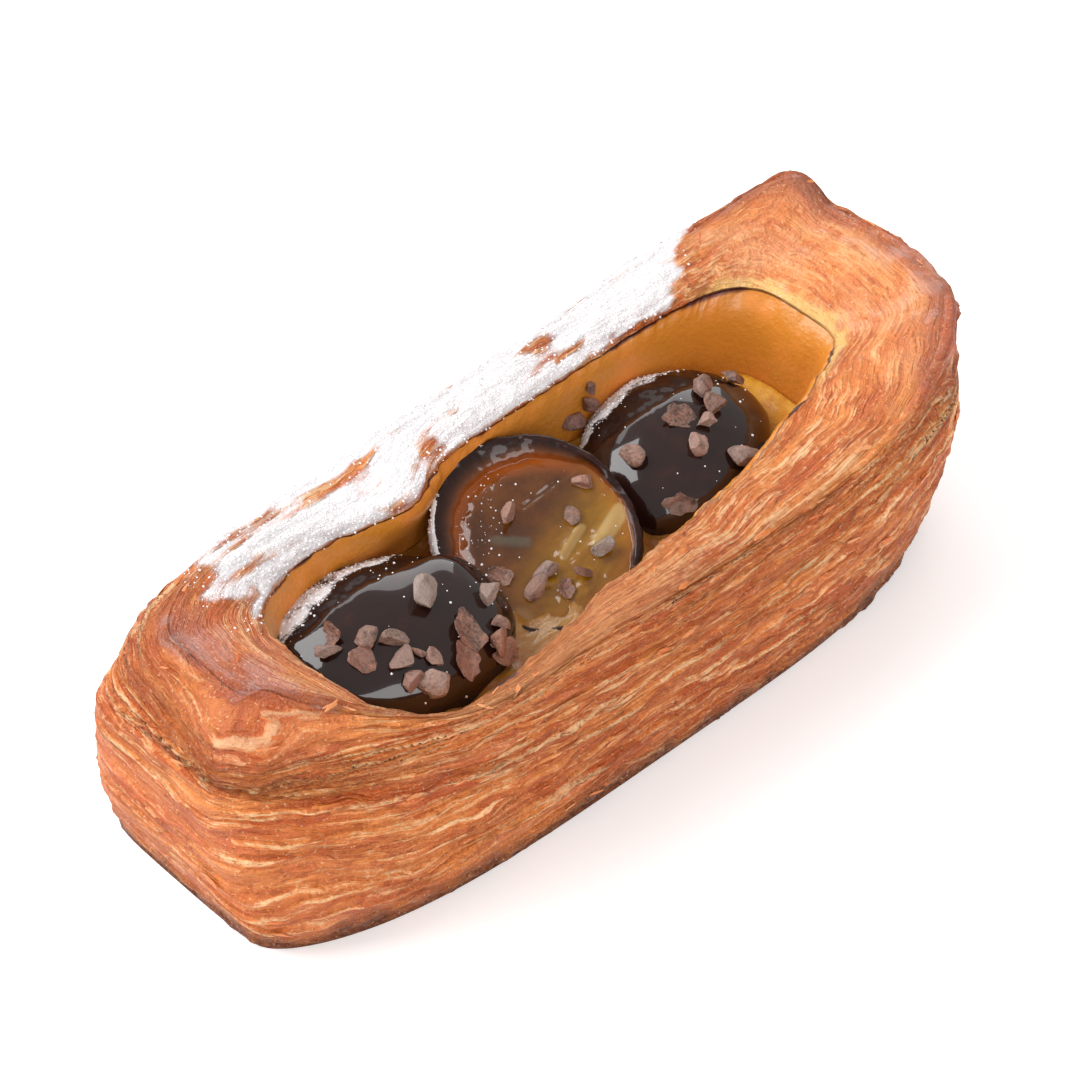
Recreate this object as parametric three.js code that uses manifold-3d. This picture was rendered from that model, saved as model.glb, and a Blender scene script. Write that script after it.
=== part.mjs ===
// A chestnut danish: a boat of laminated dough with four pulled corners, filled with baked custard,
// in which three candied chestnuts lie, two with the glazed back up and one with the cut face up.
// Millimetres. +X runs to the right end, -Y is the front side, +Z is up. The danish rests on z = 0
// and its origin is the middle of its box at the bottom.

import * as THREE from 'three';
import { mergeVertices } from 'three/addons/utils/BufferGeometryUtils.js';
import Module from 'manifold-3d';

const wasm = await Module();
wasm.setup();

// ---- Driving dimensions ---------------------------------------------------------------------

// The dough is a stack of closed outlines. Each is a squared ellipse with its own reach to the
// left and right end, its half widths to the front and to the back at the left end, the middle
// and the right end, and its heights at the front, the back, the left end and the right end.
// Narrowing is the power by which the widths fall off to the ends.
const FOOT = {
  left: 77.5, right: 68, front: [16.5, 28, 19], back: [25, 28, 22], height: [0, 0, 0, 0], square: 12,
  narrowing: 4,
};
const BELLY = {
  left: 79.6, right: 74, front: [18, 29.2, 21], back: [27, 30, 24], height: [9, 9, 11, 12], square: 10,
  narrowing: 4,
};
const WAIST = {
  left: 78, right: 74.7, front: [12.8, 28.8, 20.3], back: [25.5, 30, 25], height: [21, 24, 28, 28],
  square: 10, narrowing: 4,
};
const SHOULDER = {
  left: 75, right: 74.7, front: [10.5, 27.5, 17.5], back: [22.3, 29.5, 25],
  height: [31, 35, 37.5, 41], square: 9, narrowing: 4.5,
};
const CREST = {
  left: 69, right: 73, front: [9.5, 27, 16], back: [17, 27, 21],
  height: [35.5, 41.5, 43, 45.5], square: 8, narrowing: 4.5,
};
const LIP = {
  left: 55, right: 57, front: [24, 17.8, 11.5], back: [17, 17.8, 18],
  height: [34.5, 39, 37.5, 40.5], square: 4.5, narrowing: 3,
};
const WALL = {
  left: 53, right: 53.5, front: [19, 17, 11], back: [15.5, 17.5, 16],
  height: [25, 25, 25, 25], square: 4, narrowing: 3,
};
const FLOOR = {
  left: 48, right: 48, front: [12, 15, 9], back: [11, 14, 11], height: [11, 11, 11, 11], square: 4,
  narrowing: 3,
};
const OUTLINES = [FOOT, BELLY, WAIST, SHOULDER, CREST, LIP, WALL, FLOOR];
const CREST_ROW = OUTLINES.indexOf(CREST);
const LIP_ROW = OUTLINES.indexOf(LIP);
const WALL_ROW = OUTLINES.indexOf(WALL);
const FLOOR_ROW = OUTLINES.indexOf(FLOOR);

const END_CROWN = [0.5, 4];  // how far the left and the right end face bow out
const RISE_FROM = 0.35;    // share of the half length from which the ends rise

// Corners pulled out, the curled tab over the custard and the pinch of the mouth: the angle in the
// plan, the width in degrees, the move in x, y and z, and how much of it each outline takes.
const CORNER_SHARE = new Map([[WAIST, 0.45], [SHOULDER, 0.7], [CREST, 1]]);
const RIM_SHARE = new Map([[SHOULDER, 0.6], [CREST, 1]]);
const PULLS = [
  { name: 'back right ear', at: 43, width: 6, move: [5, 2, 2.5], share: CORNER_SHARE },
  { name: 'front right ear', at: -45, width: 12, move: [0.5, -1.5, 0.5], share: CORNER_SHARE },
  { name: 'back left ear', at: 135, width: 12, move: [-1.5, 0, 0.5], share: CORNER_SHARE },
  { name: 'front left knob', at: 218, width: 10, move: [1.5, 1.5, 2], share: CORNER_SHARE },
  { name: 'low front rim', at: 236, width: 12, move: [0, -1.5, -2], share: RIM_SHARE },
  { name: 'tab', at: 113, width: 9, move: [2, -5, 0], share: new Map([[LIP, 1]]) },
  { name: 'mouth pinch', at: 204, width: 10, move: [0.8, 1.8, 0.3], share: new Map([[LIP, 1]]) },
  { name: 'mouth dip', at: 237, width: 12, move: [-4.4, 0, -3.2], share: new Map([[LIP, 1]]) },
];

const LAYERS = 7;              // bulging layers of dough that show on the outside
const LAYER_BULGE = 1;         // how far a layer stands out of the groove beside it
const LAYER_SHAPE = [-0.6, 0.4, 0.25];
const LAYER_WAVE = 0.07;       // how far a layer wanders up and down, as a share of an outline step
const FOLD_STEP = 0.9;         // the lower tier of the left end stands out below its fold
const TOP_RIPPLE = 0.45;       // wrinkles on the top of the dough
const COLUMNS = 92;
const TOP_ROWS = 4;
const WALL_ROWS = 3;
const FLOOR_ROWS = 2;

const GAP = 0.35;              // clear space between the pieces
const CUSTARD_LEVEL = 25;
const CUSTARD_LUMP = 0.6;
const CUSTARD_TOP_ROWS = 5;

// Each chestnut half has a widest line: its centre, half length and half width, the rise above
// that line and the drop below it. It is tilted by some degrees towards a side of the danish and
// turned in the plan. Its cacao nibs lie at places along and across it, the first ones largest.
const TOWARDS = 230;
const CHESTNUTS = [
  {
    name: 'chestnut_left', centre: [-36.8, 2.6, 24], half: [22, 16.5], rise: 12, drop: 9,
    turn: -13, tilt: 9, face: 'glazed', colour: 0x1a0d09, nibSize: [6.3, 3.6],
    nibs: [
      [7, -2], [11, -9], [8, -12], [15, -10], [-6, -6], [17, -3], [2, -13], [-4, -3],
      [-1, -5], [-9, 0], [17, -7], [-1, -9], [-1, -12], [3, -10], [-10, -2],
    ],
  },
  {
    name: 'chestnut_middle', centre: [-4.6, 1, 30], half: [17.2, 18], rise: 1.5, drop: 13,
    turn: -10, tilt: 22, face: 'cut', colour: 0x7a4a17, nibSize: [5, 3.6],
    nibs: [[2, -10], [-2, 6], [-9, -3], [12, 4], [8, -7], [-5, -8], [-2, -6], [7, 0]],
  },
  {
    name: 'chestnut_right', centre: [28.8, 2.2, 24], half: [18.4, 16.2], rise: 11.5, drop: 8,
    turn: 10, tilt: 8, face: 'glazed', colour: 0x1a0d09, nibSize: [5.2, 3.2],
    nibs: [
      [0, 0], [14, 0], [5, -3], [1, -12], [-12, -9], [8, 1], [-10, 2], [-3, -6], [2, -4], [7, -13],
    ],
  },
];
const CHESTNUT_COLUMNS = 26;
const CHESTNUT_UNEVEN = 0.03;  // share by which a chestnut swells and shrinks
const SKIN_WIDTH = 0.17;       // rim of dark skin round a cut face, as a share of its half width
const FLESH_DEPTH = 1.4;       // the cut flesh lies this far below the rim
const HOLLOW_RISE = 7;         // height that stays free over a cut face
const NIB_FLATNESS = 0.62;
const NIB_SINK = 0.2;          // share of a nib's size that is sunk in the glaze
const NIB_LEAN = 0.5;          // radians by which the nibs lean this way and that

const CENTRE = [-0.995, 0.224];  // middle of the box of the dough before it is moved

// ---- Helpers --------------------------------------------------------------------------------

const radians = THREE.MathUtils.degToRad;
const { lerp, smoothstep } = THREE.MathUtils;

// A repeatable stream of random numbers from 0 to 1.
function seeded(seed) {
  let state = seed >>> 0;
  return () => {
    state = (state + 0x6d2b79f5) >>> 0;
    let t = Math.imul(state ^ (state >>> 15), state | 1);
    t ^= t + Math.imul(t ^ (t >>> 7), t | 61);
    return ((t ^ (t >>> 14)) >>> 0) / 4294967296;
  };
}

// A smooth closed form from rows of points round an axis, with a single point at either end.
function loft(startPoint, rows, endPoint) {
  const columns = rows[0].length;
  const positions = [startPoint, ...rows.flat(), endPoint].flatMap((point) => point.toArray());
  const at = (row, column) => 1 + row * columns + (column % columns);
  const end = 1 + rows.length * columns;
  const index = [];
  for (let column = 0; column < columns; column += 1) {
    index.push(0, at(0, column + 1), at(0, column));
    for (let row = 0; row + 1 < rows.length; row += 1) {
      index.push(at(row, column), at(row, column + 1), at(row + 1, column + 1));
      index.push(at(row, column), at(row + 1, column + 1), at(row + 1, column));
    }
    index.push(at(rows.length - 1, column), at(rows.length - 1, column + 1), end);
  }
  const geometry = new THREE.BufferGeometry();
  geometry.setAttribute('position', new THREE.Float32BufferAttribute(positions, 3));
  geometry.setIndex(index);
  return geometry;
}

function toSolid(geometry) {
  const bare = geometry.clone();
  bare.deleteAttribute('normal');
  bare.deleteAttribute('uv');
  const merged = mergeVertices(bare, 1e-4);
  return new wasm.Manifold(new wasm.Mesh({
    numProp: 3,
    vertProperties: new Float32Array(merged.attributes.position.array),
    triVerts: new Uint32Array(merged.index.array),
  }));
}

function toGeometry(solid) {
  const mesh = solid.getMesh();
  const geometry = new THREE.BufferGeometry();
  geometry.setAttribute('position', new THREE.BufferAttribute(mesh.vertProperties, 3));
  geometry.setIndex(new THREE.BufferAttribute(mesh.triVerts, 1));
  geometry.computeVertexNormals();
  return geometry;
}

// The largest closed piece of a solid, so that a cut leaves no loose scrap.
function largest(solid) {
  const pieces = solid.decompose();
  return pieces.reduce((best, piece) => (piece.volume() > best.volume() ? piece : best));
}

// ---- Dough ----------------------------------------------------------------------------------

// A point of one outline at a plan angle. An inset draws the outline in on all sides.
function outlinePoint(outline, angle, inset = 0) {
  const [c, s] = [Math.cos(angle), Math.sin(angle)];
  const power = outline.square;
  const reach = (Math.abs(c) ** power + Math.abs(s) ** power) ** (-1 / power);
  const [along, across] = [reach * c, reach * s];
  const arch = 1 - Math.abs(along) ** outline.narrowing;
  const [atLeft, atMiddle, atRight] = across < 0 ? outline.front : outline.back;
  const halfWidth = lerp(atLeft, atRight, (along + 1) / 2) + (atMiddle - (atLeft + atRight) / 2) * arch;
  const halfLength = along < 0 ? outline.left : outline.right;
  const [front, back, leftEnd, rightEnd] = outline.height;
  const middle = lerp(front, back, smoothstep(across, -1, 1));
  const end = along < 0 ? leftEnd : rightEnd;
  const point = new THREE.Vector3(
    along * (halfLength - inset),
    across * (halfWidth - inset),
    lerp(middle, end, smoothstep(Math.abs(along), RISE_FROM, 1)),
  );
  if (OUTLINES.indexOf(outline) <= CREST_ROW) {
    point.x += (along < 0 ? -END_CROWN[0] : END_CROWN[1]) * (1 - across ** 2) * along ** 4;
  }
  for (const pull of PULLS) {
    const share = pull.share.get(outline) ?? 0;
    const off = THREE.MathUtils.euclideanModulo(angle * THREE.MathUtils.RAD2DEG - pull.at + 180, 360) - 180;
    point.addScaledVector(new THREE.Vector3(...pull.move), share * Math.exp(-((off / pull.width) ** 2)));
  }
  return point;
}

// A point of the skin of the dough: step 0 is the foot, each whole number the next outline.
function skinPoint(step, angle, inset = 0) {
  const last = OUTLINES.length - 1;
  const from = Math.min(Math.max(Math.floor(step), 0), last - 1);
  const t = step - from;
  const [before, start, end, after] = [from - 1, from, from + 1, from + 2].map((row) => (
    outlinePoint(OUTLINES[THREE.MathUtils.clamp(row, 0, last)], angle, inset)
  ));
  const catmull = (p0, p1, p2, p3) => {
    const [slope1, slope2] = [(p2 - p0) / 2, (p3 - p1) / 2];
    const bend = 2 * (p1 - p2) + slope1 + slope2;
    return ((bend * t - 3 * (p1 - p2) - 2 * slope1 - slope2) * t + slope1) * t + p1;
  };
  return new THREE.Vector3(
    catmull(before.x, start.x, end.x, after.x),
    catmull(before.y, start.y, end.y, after.y),
    Math.max(0, catmull(before.z, start.z, end.z, after.z)),
  );
}

// Plan angles that stand about evenly along the crest.
function evenAngles(count) {
  const fine = 3600;
  const places = [0];
  let last = skinPoint(CREST_ROW, 0);
  for (let i = 1; i <= fine; i += 1) {
    const next = skinPoint(CREST_ROW, (i / fine) * 2 * Math.PI);
    places.push(places[i - 1] + Math.hypot(next.x - last.x, next.y - last.y));
    last = next;
  }
  const angles = [];
  for (let i = 0, k = 0; k < count; k += 1) {
    while (places[i + 1] < (k / count) * places[fine]) i += 1;
    angles.push((i / fine) * 2 * Math.PI);
  }
  return angles;
}

// Slow waves round the dough, different for each row.
function wave(angle, row) {
  return (
    Math.sin(3 * angle + 1.3 * row) + 0.6 * Math.sin(7 * angle - 2.1 * row) + 0.4 * Math.sin(13 * angle + row)
  ) / 2;
}

// How far the skin stands out of its smooth form.
function relief(angle, row, outerRows) {
  if (row >= outerRows) return TOP_RIPPLE * wave(2 * angle, row) * (row - outerRows < TOP_ROWS ? 1 : 0.4);
  const share = row / outerRows;
  const fade = smoothstep(share, 0, 0.12) * (1 - 0.6 * smoothstep(share, 0.8, 1));
  const layer = LAYER_BULGE * LAYER_SHAPE[row % LAYER_SHAPE.length] * (0.75 + 0.35 * wave(angle, row));
  const leftEnd = smoothstep(-Math.cos(angle), 0.75, 0.95);
  const fold = FOLD_STEP * leftEnd * (1 - smoothstep(share, 0.5, 0.58)) * smoothstep(share, 0.1, 0.3);
  return fade * layer + fold;
}

function makeDough(holes) {
  const outerRows = LAYERS * LAYER_SHAPE.length;
  const steps = [];
  for (let row = 0; row < outerRows; row += 1) steps.push((row / outerRows) * CREST_ROW);
  for (let row = 0; row < TOP_ROWS; row += 1) steps.push(CREST_ROW + row / TOP_ROWS);
  for (let row = 0; row < WALL_ROWS; row += 1) steps.push(LIP_ROW + row / WALL_ROWS);
  for (let row = 0; row <= FLOOR_ROWS; row += 1) steps.push(WALL_ROW + row / FLOOR_ROWS);
  const angles = evenAngles(COLUMNS);
  const rows = steps.map((step, row) => angles.map((angle) => {
    const wander = row > 0 && row < outerRows ? LAYER_WAVE * wave(angle, Math.floor(row / 3)) : 0;
    const here = step + wander;
    const point = skinPoint(here, angle);
    if (row === 0 || row > outerRows + TOP_ROWS) return point;
    const round = skinPoint(here, angle + 0.01).sub(skinPoint(here, angle - 0.01));
    const up = skinPoint(here + 0.05, angle).sub(skinPoint(here - 0.05, angle));
    const outward = round.cross(up).normalize();
    point.addScaledVector(outward, relief(angle, row, outerRows));
    point.z = Math.max(point.z, 0.2);
    return point;
  }));
  const underside = new THREE.Vector3(0, 0, 0);
  const bottom = new THREE.Vector3(0, 0, FLOOR.height[0]);
  return toGeometry(largest(toSolid(loft(underside, rows, bottom)).subtract(holes)));
}

// ---- Custard --------------------------------------------------------------------------------

function lump(x, y) {
  return CUSTARD_LUMP * (Math.sin(0.45 * x + 1) * Math.cos(0.38 * y) + 0.5 * Math.sin(0.9 * x - 0.7 * y));
}

function makeCustard(holes) {
  // Every other column and every row of the hollow, so that the gap to the dough stays even.
  const angles = evenAngles(COLUMNS).filter((angle, column) => column % 2 === 0);
  const rows = [];
  for (let row = 0; row <= FLOOR_ROWS; row += 1) {
    const step = lerp(FLOOR_ROW, WALL_ROW, row / FLOOR_ROWS);
    rows.push(angles.map((angle) => {
      const point = skinPoint(step, angle, GAP);
      point.z += row === 0 ? GAP : 0;
      return point;
    }));
  }
  const rim = rows[rows.length - 1];
  for (let row = 1; row < CUSTARD_TOP_ROWS; row += 1) {
    const share = 1 - row / CUSTARD_TOP_ROWS;
    rows.push(rim.map((point) => {
      const [x, y] = [point.x * share, point.y * share];
      return new THREE.Vector3(x, y, CUSTARD_LEVEL + lump(x, y));
    }));
  }
  const below = new THREE.Vector3(0, 0, FLOOR.height[0] + GAP);
  const above = new THREE.Vector3(0, 0, CUSTARD_LEVEL + lump(0, 0));
  return toGeometry(largest(toSolid(loft(below, rows, above)).subtract(holes)));
}

// ---- Chestnuts and nibs ---------------------------------------------------------------------

// Rows of a half from the bottom pole to the top pole: share of the half width and height.
function chestnutRows({ face, rise, drop }) {
  const rows = [];
  for (let degrees = -72; degrees <= 0; degrees += 18) {
    rows.push([Math.cos(radians(degrees)), drop * Math.sin(radians(degrees))]);
  }
  if (face === 'glazed') {
    for (let degrees = 14; degrees < 85; degrees += 14) {
      rows.push([Math.cos(radians(degrees)), rise * Math.sin(radians(degrees))]);
    }
    return rows;
  }
  const inner = 1 - SKIN_WIDTH;
  rows.push([0.985, 0.55 * rise], [0.95, rise], [0.5 * (0.95 + inner), 0.8 * rise]);
  rows.push([inner, rise - FLESH_DEPTH]);
  rows.push([inner * 0.7, rise - FLESH_DEPTH * 1.1], [inner * 0.35, rise - FLESH_DEPTH * 0.8]);
  return rows;
}

// The point of the upper face at a place along and across the half, and the way that it faces.
function faceAt({ face, half, rise }, along, across) {
  if (face === 'cut') {
    return [new THREE.Vector3(along, across, rise - FLESH_DEPTH), new THREE.Vector3(0, 0, 1)];
  }
  const outward = (along / half[0]) ** 2 + (across / half[1]) ** 2;
  const height = rise * Math.sqrt(Math.max(0, 1 - outward));
  const facing = new THREE.Vector3(along / half[0] ** 2, across / half[1] ** 2, height / rise ** 2);
  return [new THREE.Vector3(along, across, height), facing.normalize()];
}

function placeIn(chestnut) {
  const side = radians(TOWARDS);
  const axis = new THREE.Vector3(-Math.sin(side), Math.cos(side), 0);
  const turn = new THREE.Quaternion().setFromAxisAngle(new THREE.Vector3(0, 0, 1), radians(chestnut.turn));
  const tilt = new THREE.Quaternion().setFromAxisAngle(axis, radians(chestnut.tilt));
  return new THREE.Matrix4().compose(
    new THREE.Vector3(...chestnut.centre), tilt.multiply(turn), new THREE.Vector3(1, 1, 1),
  );
}

// The body of a half. Grown, it makes the hollow that the half lies in.
function chestnutBody(chestnut, grown = 0) {
  const [halfLength, halfWidth] = chestnut.half;
  const rows = chestnutRows(chestnut).map(([share, height]) => {
    const points = [];
    for (let k = 0; k < CHESTNUT_COLUMNS; k += 1) {
      const angle = (k / CHESTNUT_COLUMNS) * 2 * Math.PI;
      const swell = 1 + CHESTNUT_UNEVEN * Math.sin(2 * angle + halfLength) * share;
      points.push(new THREE.Vector3(
        (halfLength + grown) * share * swell * Math.cos(angle),
        (halfWidth + grown) * share * swell * Math.sin(angle),
        height * (1 + grown / Math.abs(height < 0 ? chestnut.drop : chestnut.rise)),
      ));
    }
    return points;
  });
  const last = chestnutRows(chestnut).pop()[1];
  const pole = chestnut.face === 'glazed' ? chestnut.rise + grown : last;
  const geometry = loft(
    new THREE.Vector3(0, 0, -chestnut.drop - grown), rows, new THREE.Vector3(0, 0, pole),
  );
  return geometry.applyMatrix4(placeIn(chestnut));
}

// An angular chip of roasted cacao bean.
function nib(chestnut, [along, across], size, random) {
  const chip = new THREE.IcosahedronGeometry(size / 2, 0);
  const geometry = mergeVertices(chip.deleteAttribute('normal').deleteAttribute('uv'));
  const stretch = new THREE.Vector3(1, 0.6 + 0.3 * random(), NIB_FLATNESS * (0.8 + 0.4 * random()));
  const positions = geometry.attributes.position;
  const corner = new THREE.Vector3();
  for (let i = 0; i < positions.count; i += 1) {
    corner.fromBufferAttribute(positions, i).multiply(stretch).multiplyScalar(0.8 + 0.35 * random());
    positions.setXYZ(i, corner.x, corner.y, corner.z);
  }
  const [leanX, leanY, turnZ] = [random() - 0.5, random() - 0.5, random()];
  const turn = new THREE.Euler(NIB_LEAN * leanX, NIB_LEAN * leanY, 2 * Math.PI * turnZ);
  const [point, facing] = faceAt(chestnut, along, across);
  const upright = new THREE.Quaternion().setFromUnitVectors(new THREE.Vector3(0, 0, 1), facing);
  const place = new THREE.Matrix4().compose(
    point.addScaledVector(facing, size * (NIB_FLATNESS / 2 - NIB_SINK)),
    upright.multiply(new THREE.Quaternion().setFromEuler(turn)),
    new THREE.Vector3(1, 1, 1),
  );
  return geometry.applyMatrix4(place).applyMatrix4(placeIn(chestnut));
}

function makeChestnut(chestnut, holes, seed) {
  const random = seeded(seed);
  const [largestNib, smallestNib] = chestnut.nibSize;
  let solid = toSolid(chestnutBody(chestnut));
  chestnut.nibs.forEach((place, i) => {
    const size = lerp(largestNib, smallestNib, i / (chestnut.nibs.length - 1));
    solid = solid.add(toSolid(nib(chestnut, place, size, random)));
  });
  return toGeometry(largest(holes ? solid.subtract(holes) : solid));
}

// ---- The danish -----------------------------------------------------------------------------

function piece(name, geometry, colour, roughness) {
  const material = new THREE.MeshStandardMaterial({ color: colour, roughness, metalness: 0 });
  const mesh = new THREE.Mesh(geometry, material);
  mesh.name = name;
  return mesh;
}

// A cut half takes a domed hollow, so that nothing lies on its flesh.
const hollows = CHESTNUTS.map((chestnut) => {
  const domed = { ...chestnut, face: 'glazed', rise: Math.max(chestnut.rise, HOLLOW_RISE) };
  return toSolid(chestnutBody(domed, GAP));
});
const allHollows = hollows[0].add(hollows[1]).add(hollows[2]);

const group = new THREE.Group();
group.add(piece('pastry', makeDough(allHollows), 0xc9803a, 0.6));
group.add(piece('custard', makeCustard(allHollows), 0xe8b53c, 0.3));
CHESTNUTS.forEach((chestnut, i) => {
  // The cut half leans on the left one and gives way to it.
  const holes = chestnut.face === 'cut' ? hollows[0] : null;
  group.add(piece(chestnut.name, makeChestnut(chestnut, holes, 11 + i), chestnut.colour, 0.2));
});
group.position.set(-CENTRE[0], -CENTRE[1], 0);

export default group;
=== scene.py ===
import math
from collections import namedtuple

import bmesh
import bpy
import numpy as np
from bpy.props import FloatProperty, FloatVectorProperty, IntProperty, PointerProperty
from mathutils import Matrix, Vector
from mathutils.bvhtree import BVHTree


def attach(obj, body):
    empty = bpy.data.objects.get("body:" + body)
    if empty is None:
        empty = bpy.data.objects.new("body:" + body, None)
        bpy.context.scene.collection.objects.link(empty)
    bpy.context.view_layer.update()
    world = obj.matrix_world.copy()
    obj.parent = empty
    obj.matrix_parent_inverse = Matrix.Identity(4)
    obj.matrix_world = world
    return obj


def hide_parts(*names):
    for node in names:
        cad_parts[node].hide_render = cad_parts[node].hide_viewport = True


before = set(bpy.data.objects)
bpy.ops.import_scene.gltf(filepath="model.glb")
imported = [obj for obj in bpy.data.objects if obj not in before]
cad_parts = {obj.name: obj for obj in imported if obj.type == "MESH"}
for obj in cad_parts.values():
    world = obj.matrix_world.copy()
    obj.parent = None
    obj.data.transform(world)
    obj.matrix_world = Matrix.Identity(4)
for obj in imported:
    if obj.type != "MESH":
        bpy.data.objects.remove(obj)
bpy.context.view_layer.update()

bl_info = {
    "name": "Chestnut danish",
    "version": (1, 0, 0),
    "blender": (4, 5, 0),
    "location": "3D View > Sidebar > Danish",
    "description": "A laminated danish with custard, candied chestnuts, cacao nibs and powdered sugar",
    "category": "Add Mesh",
}

MM = 0.001

# ---- Shape of the dough, in millimetres, as in the solids ------------------------------------

# Closed outlines from the foot up the outside, over the crest and the lip, down to the floor of
# the hollow: reach left and right, half widths to the front and back at the left end, the middle
# and the right end, heights at the front, back, left end and right end, and the powers by which
# the outline is square and narrows towards its ends.
Outline = namedtuple("Outline", "left right front back height square narrowing")
FOOT, BELLY, WAIST, SHOULDER, CREST, LIP, WALL, FLOOR = range(8)
OUTLINES = (
    Outline(77.5, 68, (16.5, 28, 19), (25, 28, 22), (0, 0, 0, 0), 12, 4),
    Outline(79.6, 74, (18, 29.2, 21), (27, 30, 24), (9, 9, 11, 12), 10, 4),
    Outline(78, 74.7, (12.8, 28.8, 20.3), (25.5, 30, 25), (21, 24, 28, 28), 10, 4),
    Outline(75, 74.7, (10.5, 27.5, 17.5), (22.3, 29.5, 25), (31, 35, 37.5, 41), 9, 4.5),
    Outline(69, 73, (9.5, 27, 16), (17, 27, 21), (35.5, 41.5, 43, 45.5), 8, 4.5),
    Outline(55, 57, (24, 17.8, 11.5), (17, 17.8, 18), (34.5, 39, 37.5, 40.5), 4.5, 3),
    Outline(53, 53.5, (19, 17, 11), (15.5, 17.5, 16), (25, 25, 25, 25), 4, 3),
    Outline(48, 48, (12, 15, 9), (11, 14, 11), (11, 11, 11, 11), 4, 3),
)
END_CROWN = (0.5, 4)        # how far the left and the right end bow out
RISE_FROM = 0.35            # share of the length from which the rim rises to the ends
CENTRE = (-0.995, 0.224)    # middle of the outlines' box, which is moved to the origin

# Corners pulled out, the tab over the custard and the pinch of the mouth: plan angle and width in
# degrees, move in x, y and z, and the share of it that each outline takes.
Pull = namedtuple("Pull", "at width move share")
FRONT_LEFT = 218            # plan angle of the front left corner
CORNER = {WAIST: 0.45, SHOULDER: 0.7, CREST: 1}
PULLS = (
    Pull(43, 6, (5, 2, 2.5), CORNER),
    Pull(-45, 12, (0.5, -1.5, 0.5), CORNER),
    Pull(135, 12, (-1.5, 0, 0.5), CORNER),
    Pull(FRONT_LEFT, 10, (1.5, 1.5, 2), CORNER),
    Pull(113, 9, (2, -5, 0), {LIP: 1}),
    Pull(204, 10, (0.8, 1.8, 0.3), {LIP: 1}),
    Pull(237, 12, (-4.4, 0, -3.2), {LIP: 1}),
    Pull(236, 12, (0, -1.5, -2), {SHOULDER: 0.6, CREST: 1}),
)
CUSTARD_LEVEL = 25
CUSTARD_LUMP = 0.6
GAP = 0.35                  # clear space between the dough and the custard

# Each chestnut half: centre and half size of its widest line, rise above and drop below it, turn
# and tilt in degrees. All are tilted towards the same side.
Chestnut = namedtuple("Chestnut", "centre half rise drop turn tilt")
TOWARDS = math.radians(230)
CHESTNUTS = {
    "chestnut_left": Chestnut((-36.8, 2.6, 24), (22, 16.5), 12, 9, -13, 9),
    "chestnut_middle": Chestnut((-4.6, 1, 30), (17.2, 18), 1.5, 13, -10, 22),
    "chestnut_right": Chestnut((28.8, 2.2, 24), (18.4, 16.2), 11.5, 8, 10, 8),
}
CHESTNUT_UNEVEN = 0.03      # share by which a chestnut swells and shrinks
SKIN_WIDTH = 0.17           # rim of skin round a cut face, as a share of its half width
FLESH_DEPTH = 1.4           # the cut flesh lies this far below the rim

# ---- The photograph's camera, in millimetres -------------------------------------------------

PHOTO_SIDE = 1080           # pixels
PIXELS_PER_MM = 6.08        # at the target
CAMERA_AZIMUTH = math.radians(-43.5)
CAMERA_ELEVATION = math.radians(44)
CAMERA_DISTANCE = 650
CAMERA_TARGET = (2.5, 7.5, 20)
SENSOR = 36

# ---- Numbers on arrays -----------------------------------------------------------------------


def smoothstep(low, high, value):
    t = np.clip((value - low) / (high - low), 0, 1)
    return t * t * (3 - 2 * t)


def lerp(a, b, t):
    return a + (b - a) * t


# Large odd numbers that scramble a whole number, one each for x, y, z and the seed.
SCRAMBLERS = (374761393, 668265263, 1274126177, 974634777)
WORD = 0xFFFFFFFF
HALF_WORD = 0xFFFF


def lattice(x, y, z, seed):
    """A repeatable number from -1 to 1 for each point of a whole-numbered lattice."""
    by_x, by_y, by_z, by_seed = SCRAMBLERS
    n = (x * by_x + y * by_y + z * by_z + seed * by_seed) & WORD
    n = ((n ^ (n >> 13)) * by_z) & WORD
    return ((n ^ (n >> 16)) & HALF_WORD) / (HALF_WORD / 2) - 1


def noise(x, y, z, seed=0):
    """Smooth noise from -1 to 1, with features about one unit wide."""
    x, y, z = np.broadcast_arrays(x, y, z)
    base = [np.floor(v).astype(np.int64) for v in (x, y, z)]
    fx, fy, fz = (smoothstep(0, 1, v - b) for v, b in zip((x, y, z), base))
    total = 0
    for i in (0, 1):
        for j in (0, 1):
            for k in (0, 1):
                weight = (fx if i else 1 - fx) * (fy if j else 1 - fy) * (fz if k else 1 - fz)
                total = total + weight * lattice(base[0] + i, base[1] + j, base[2] + k, seed)
    return total


def fractal(x, y, z, seed=0, octaves=3):
    """Noise from -1 to 1 with smaller noise on it, each octave half the size of the one before."""
    total, size, reach = 0, 1, 0
    for octave in range(octaves):
        total = total + size * noise(x / size, y / size, z / size, seed + octave)
        reach += size
        size /= 2
    return total / reach


def unit(vectors):
    smallest = 1e-9
    return vectors / np.maximum(np.linalg.norm(vectors, axis=-1, keepdims=True), smallest)


def grid_normals(points):
    """Outward directions of a grid of points whose columns close on themselves."""
    along = np.roll(points, -1, axis=1) - np.roll(points, 1, axis=1)
    return unit(np.cross(along, np.gradient(points, axis=0)))


# ---- Dough surface ---------------------------------------------------------------------------


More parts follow.
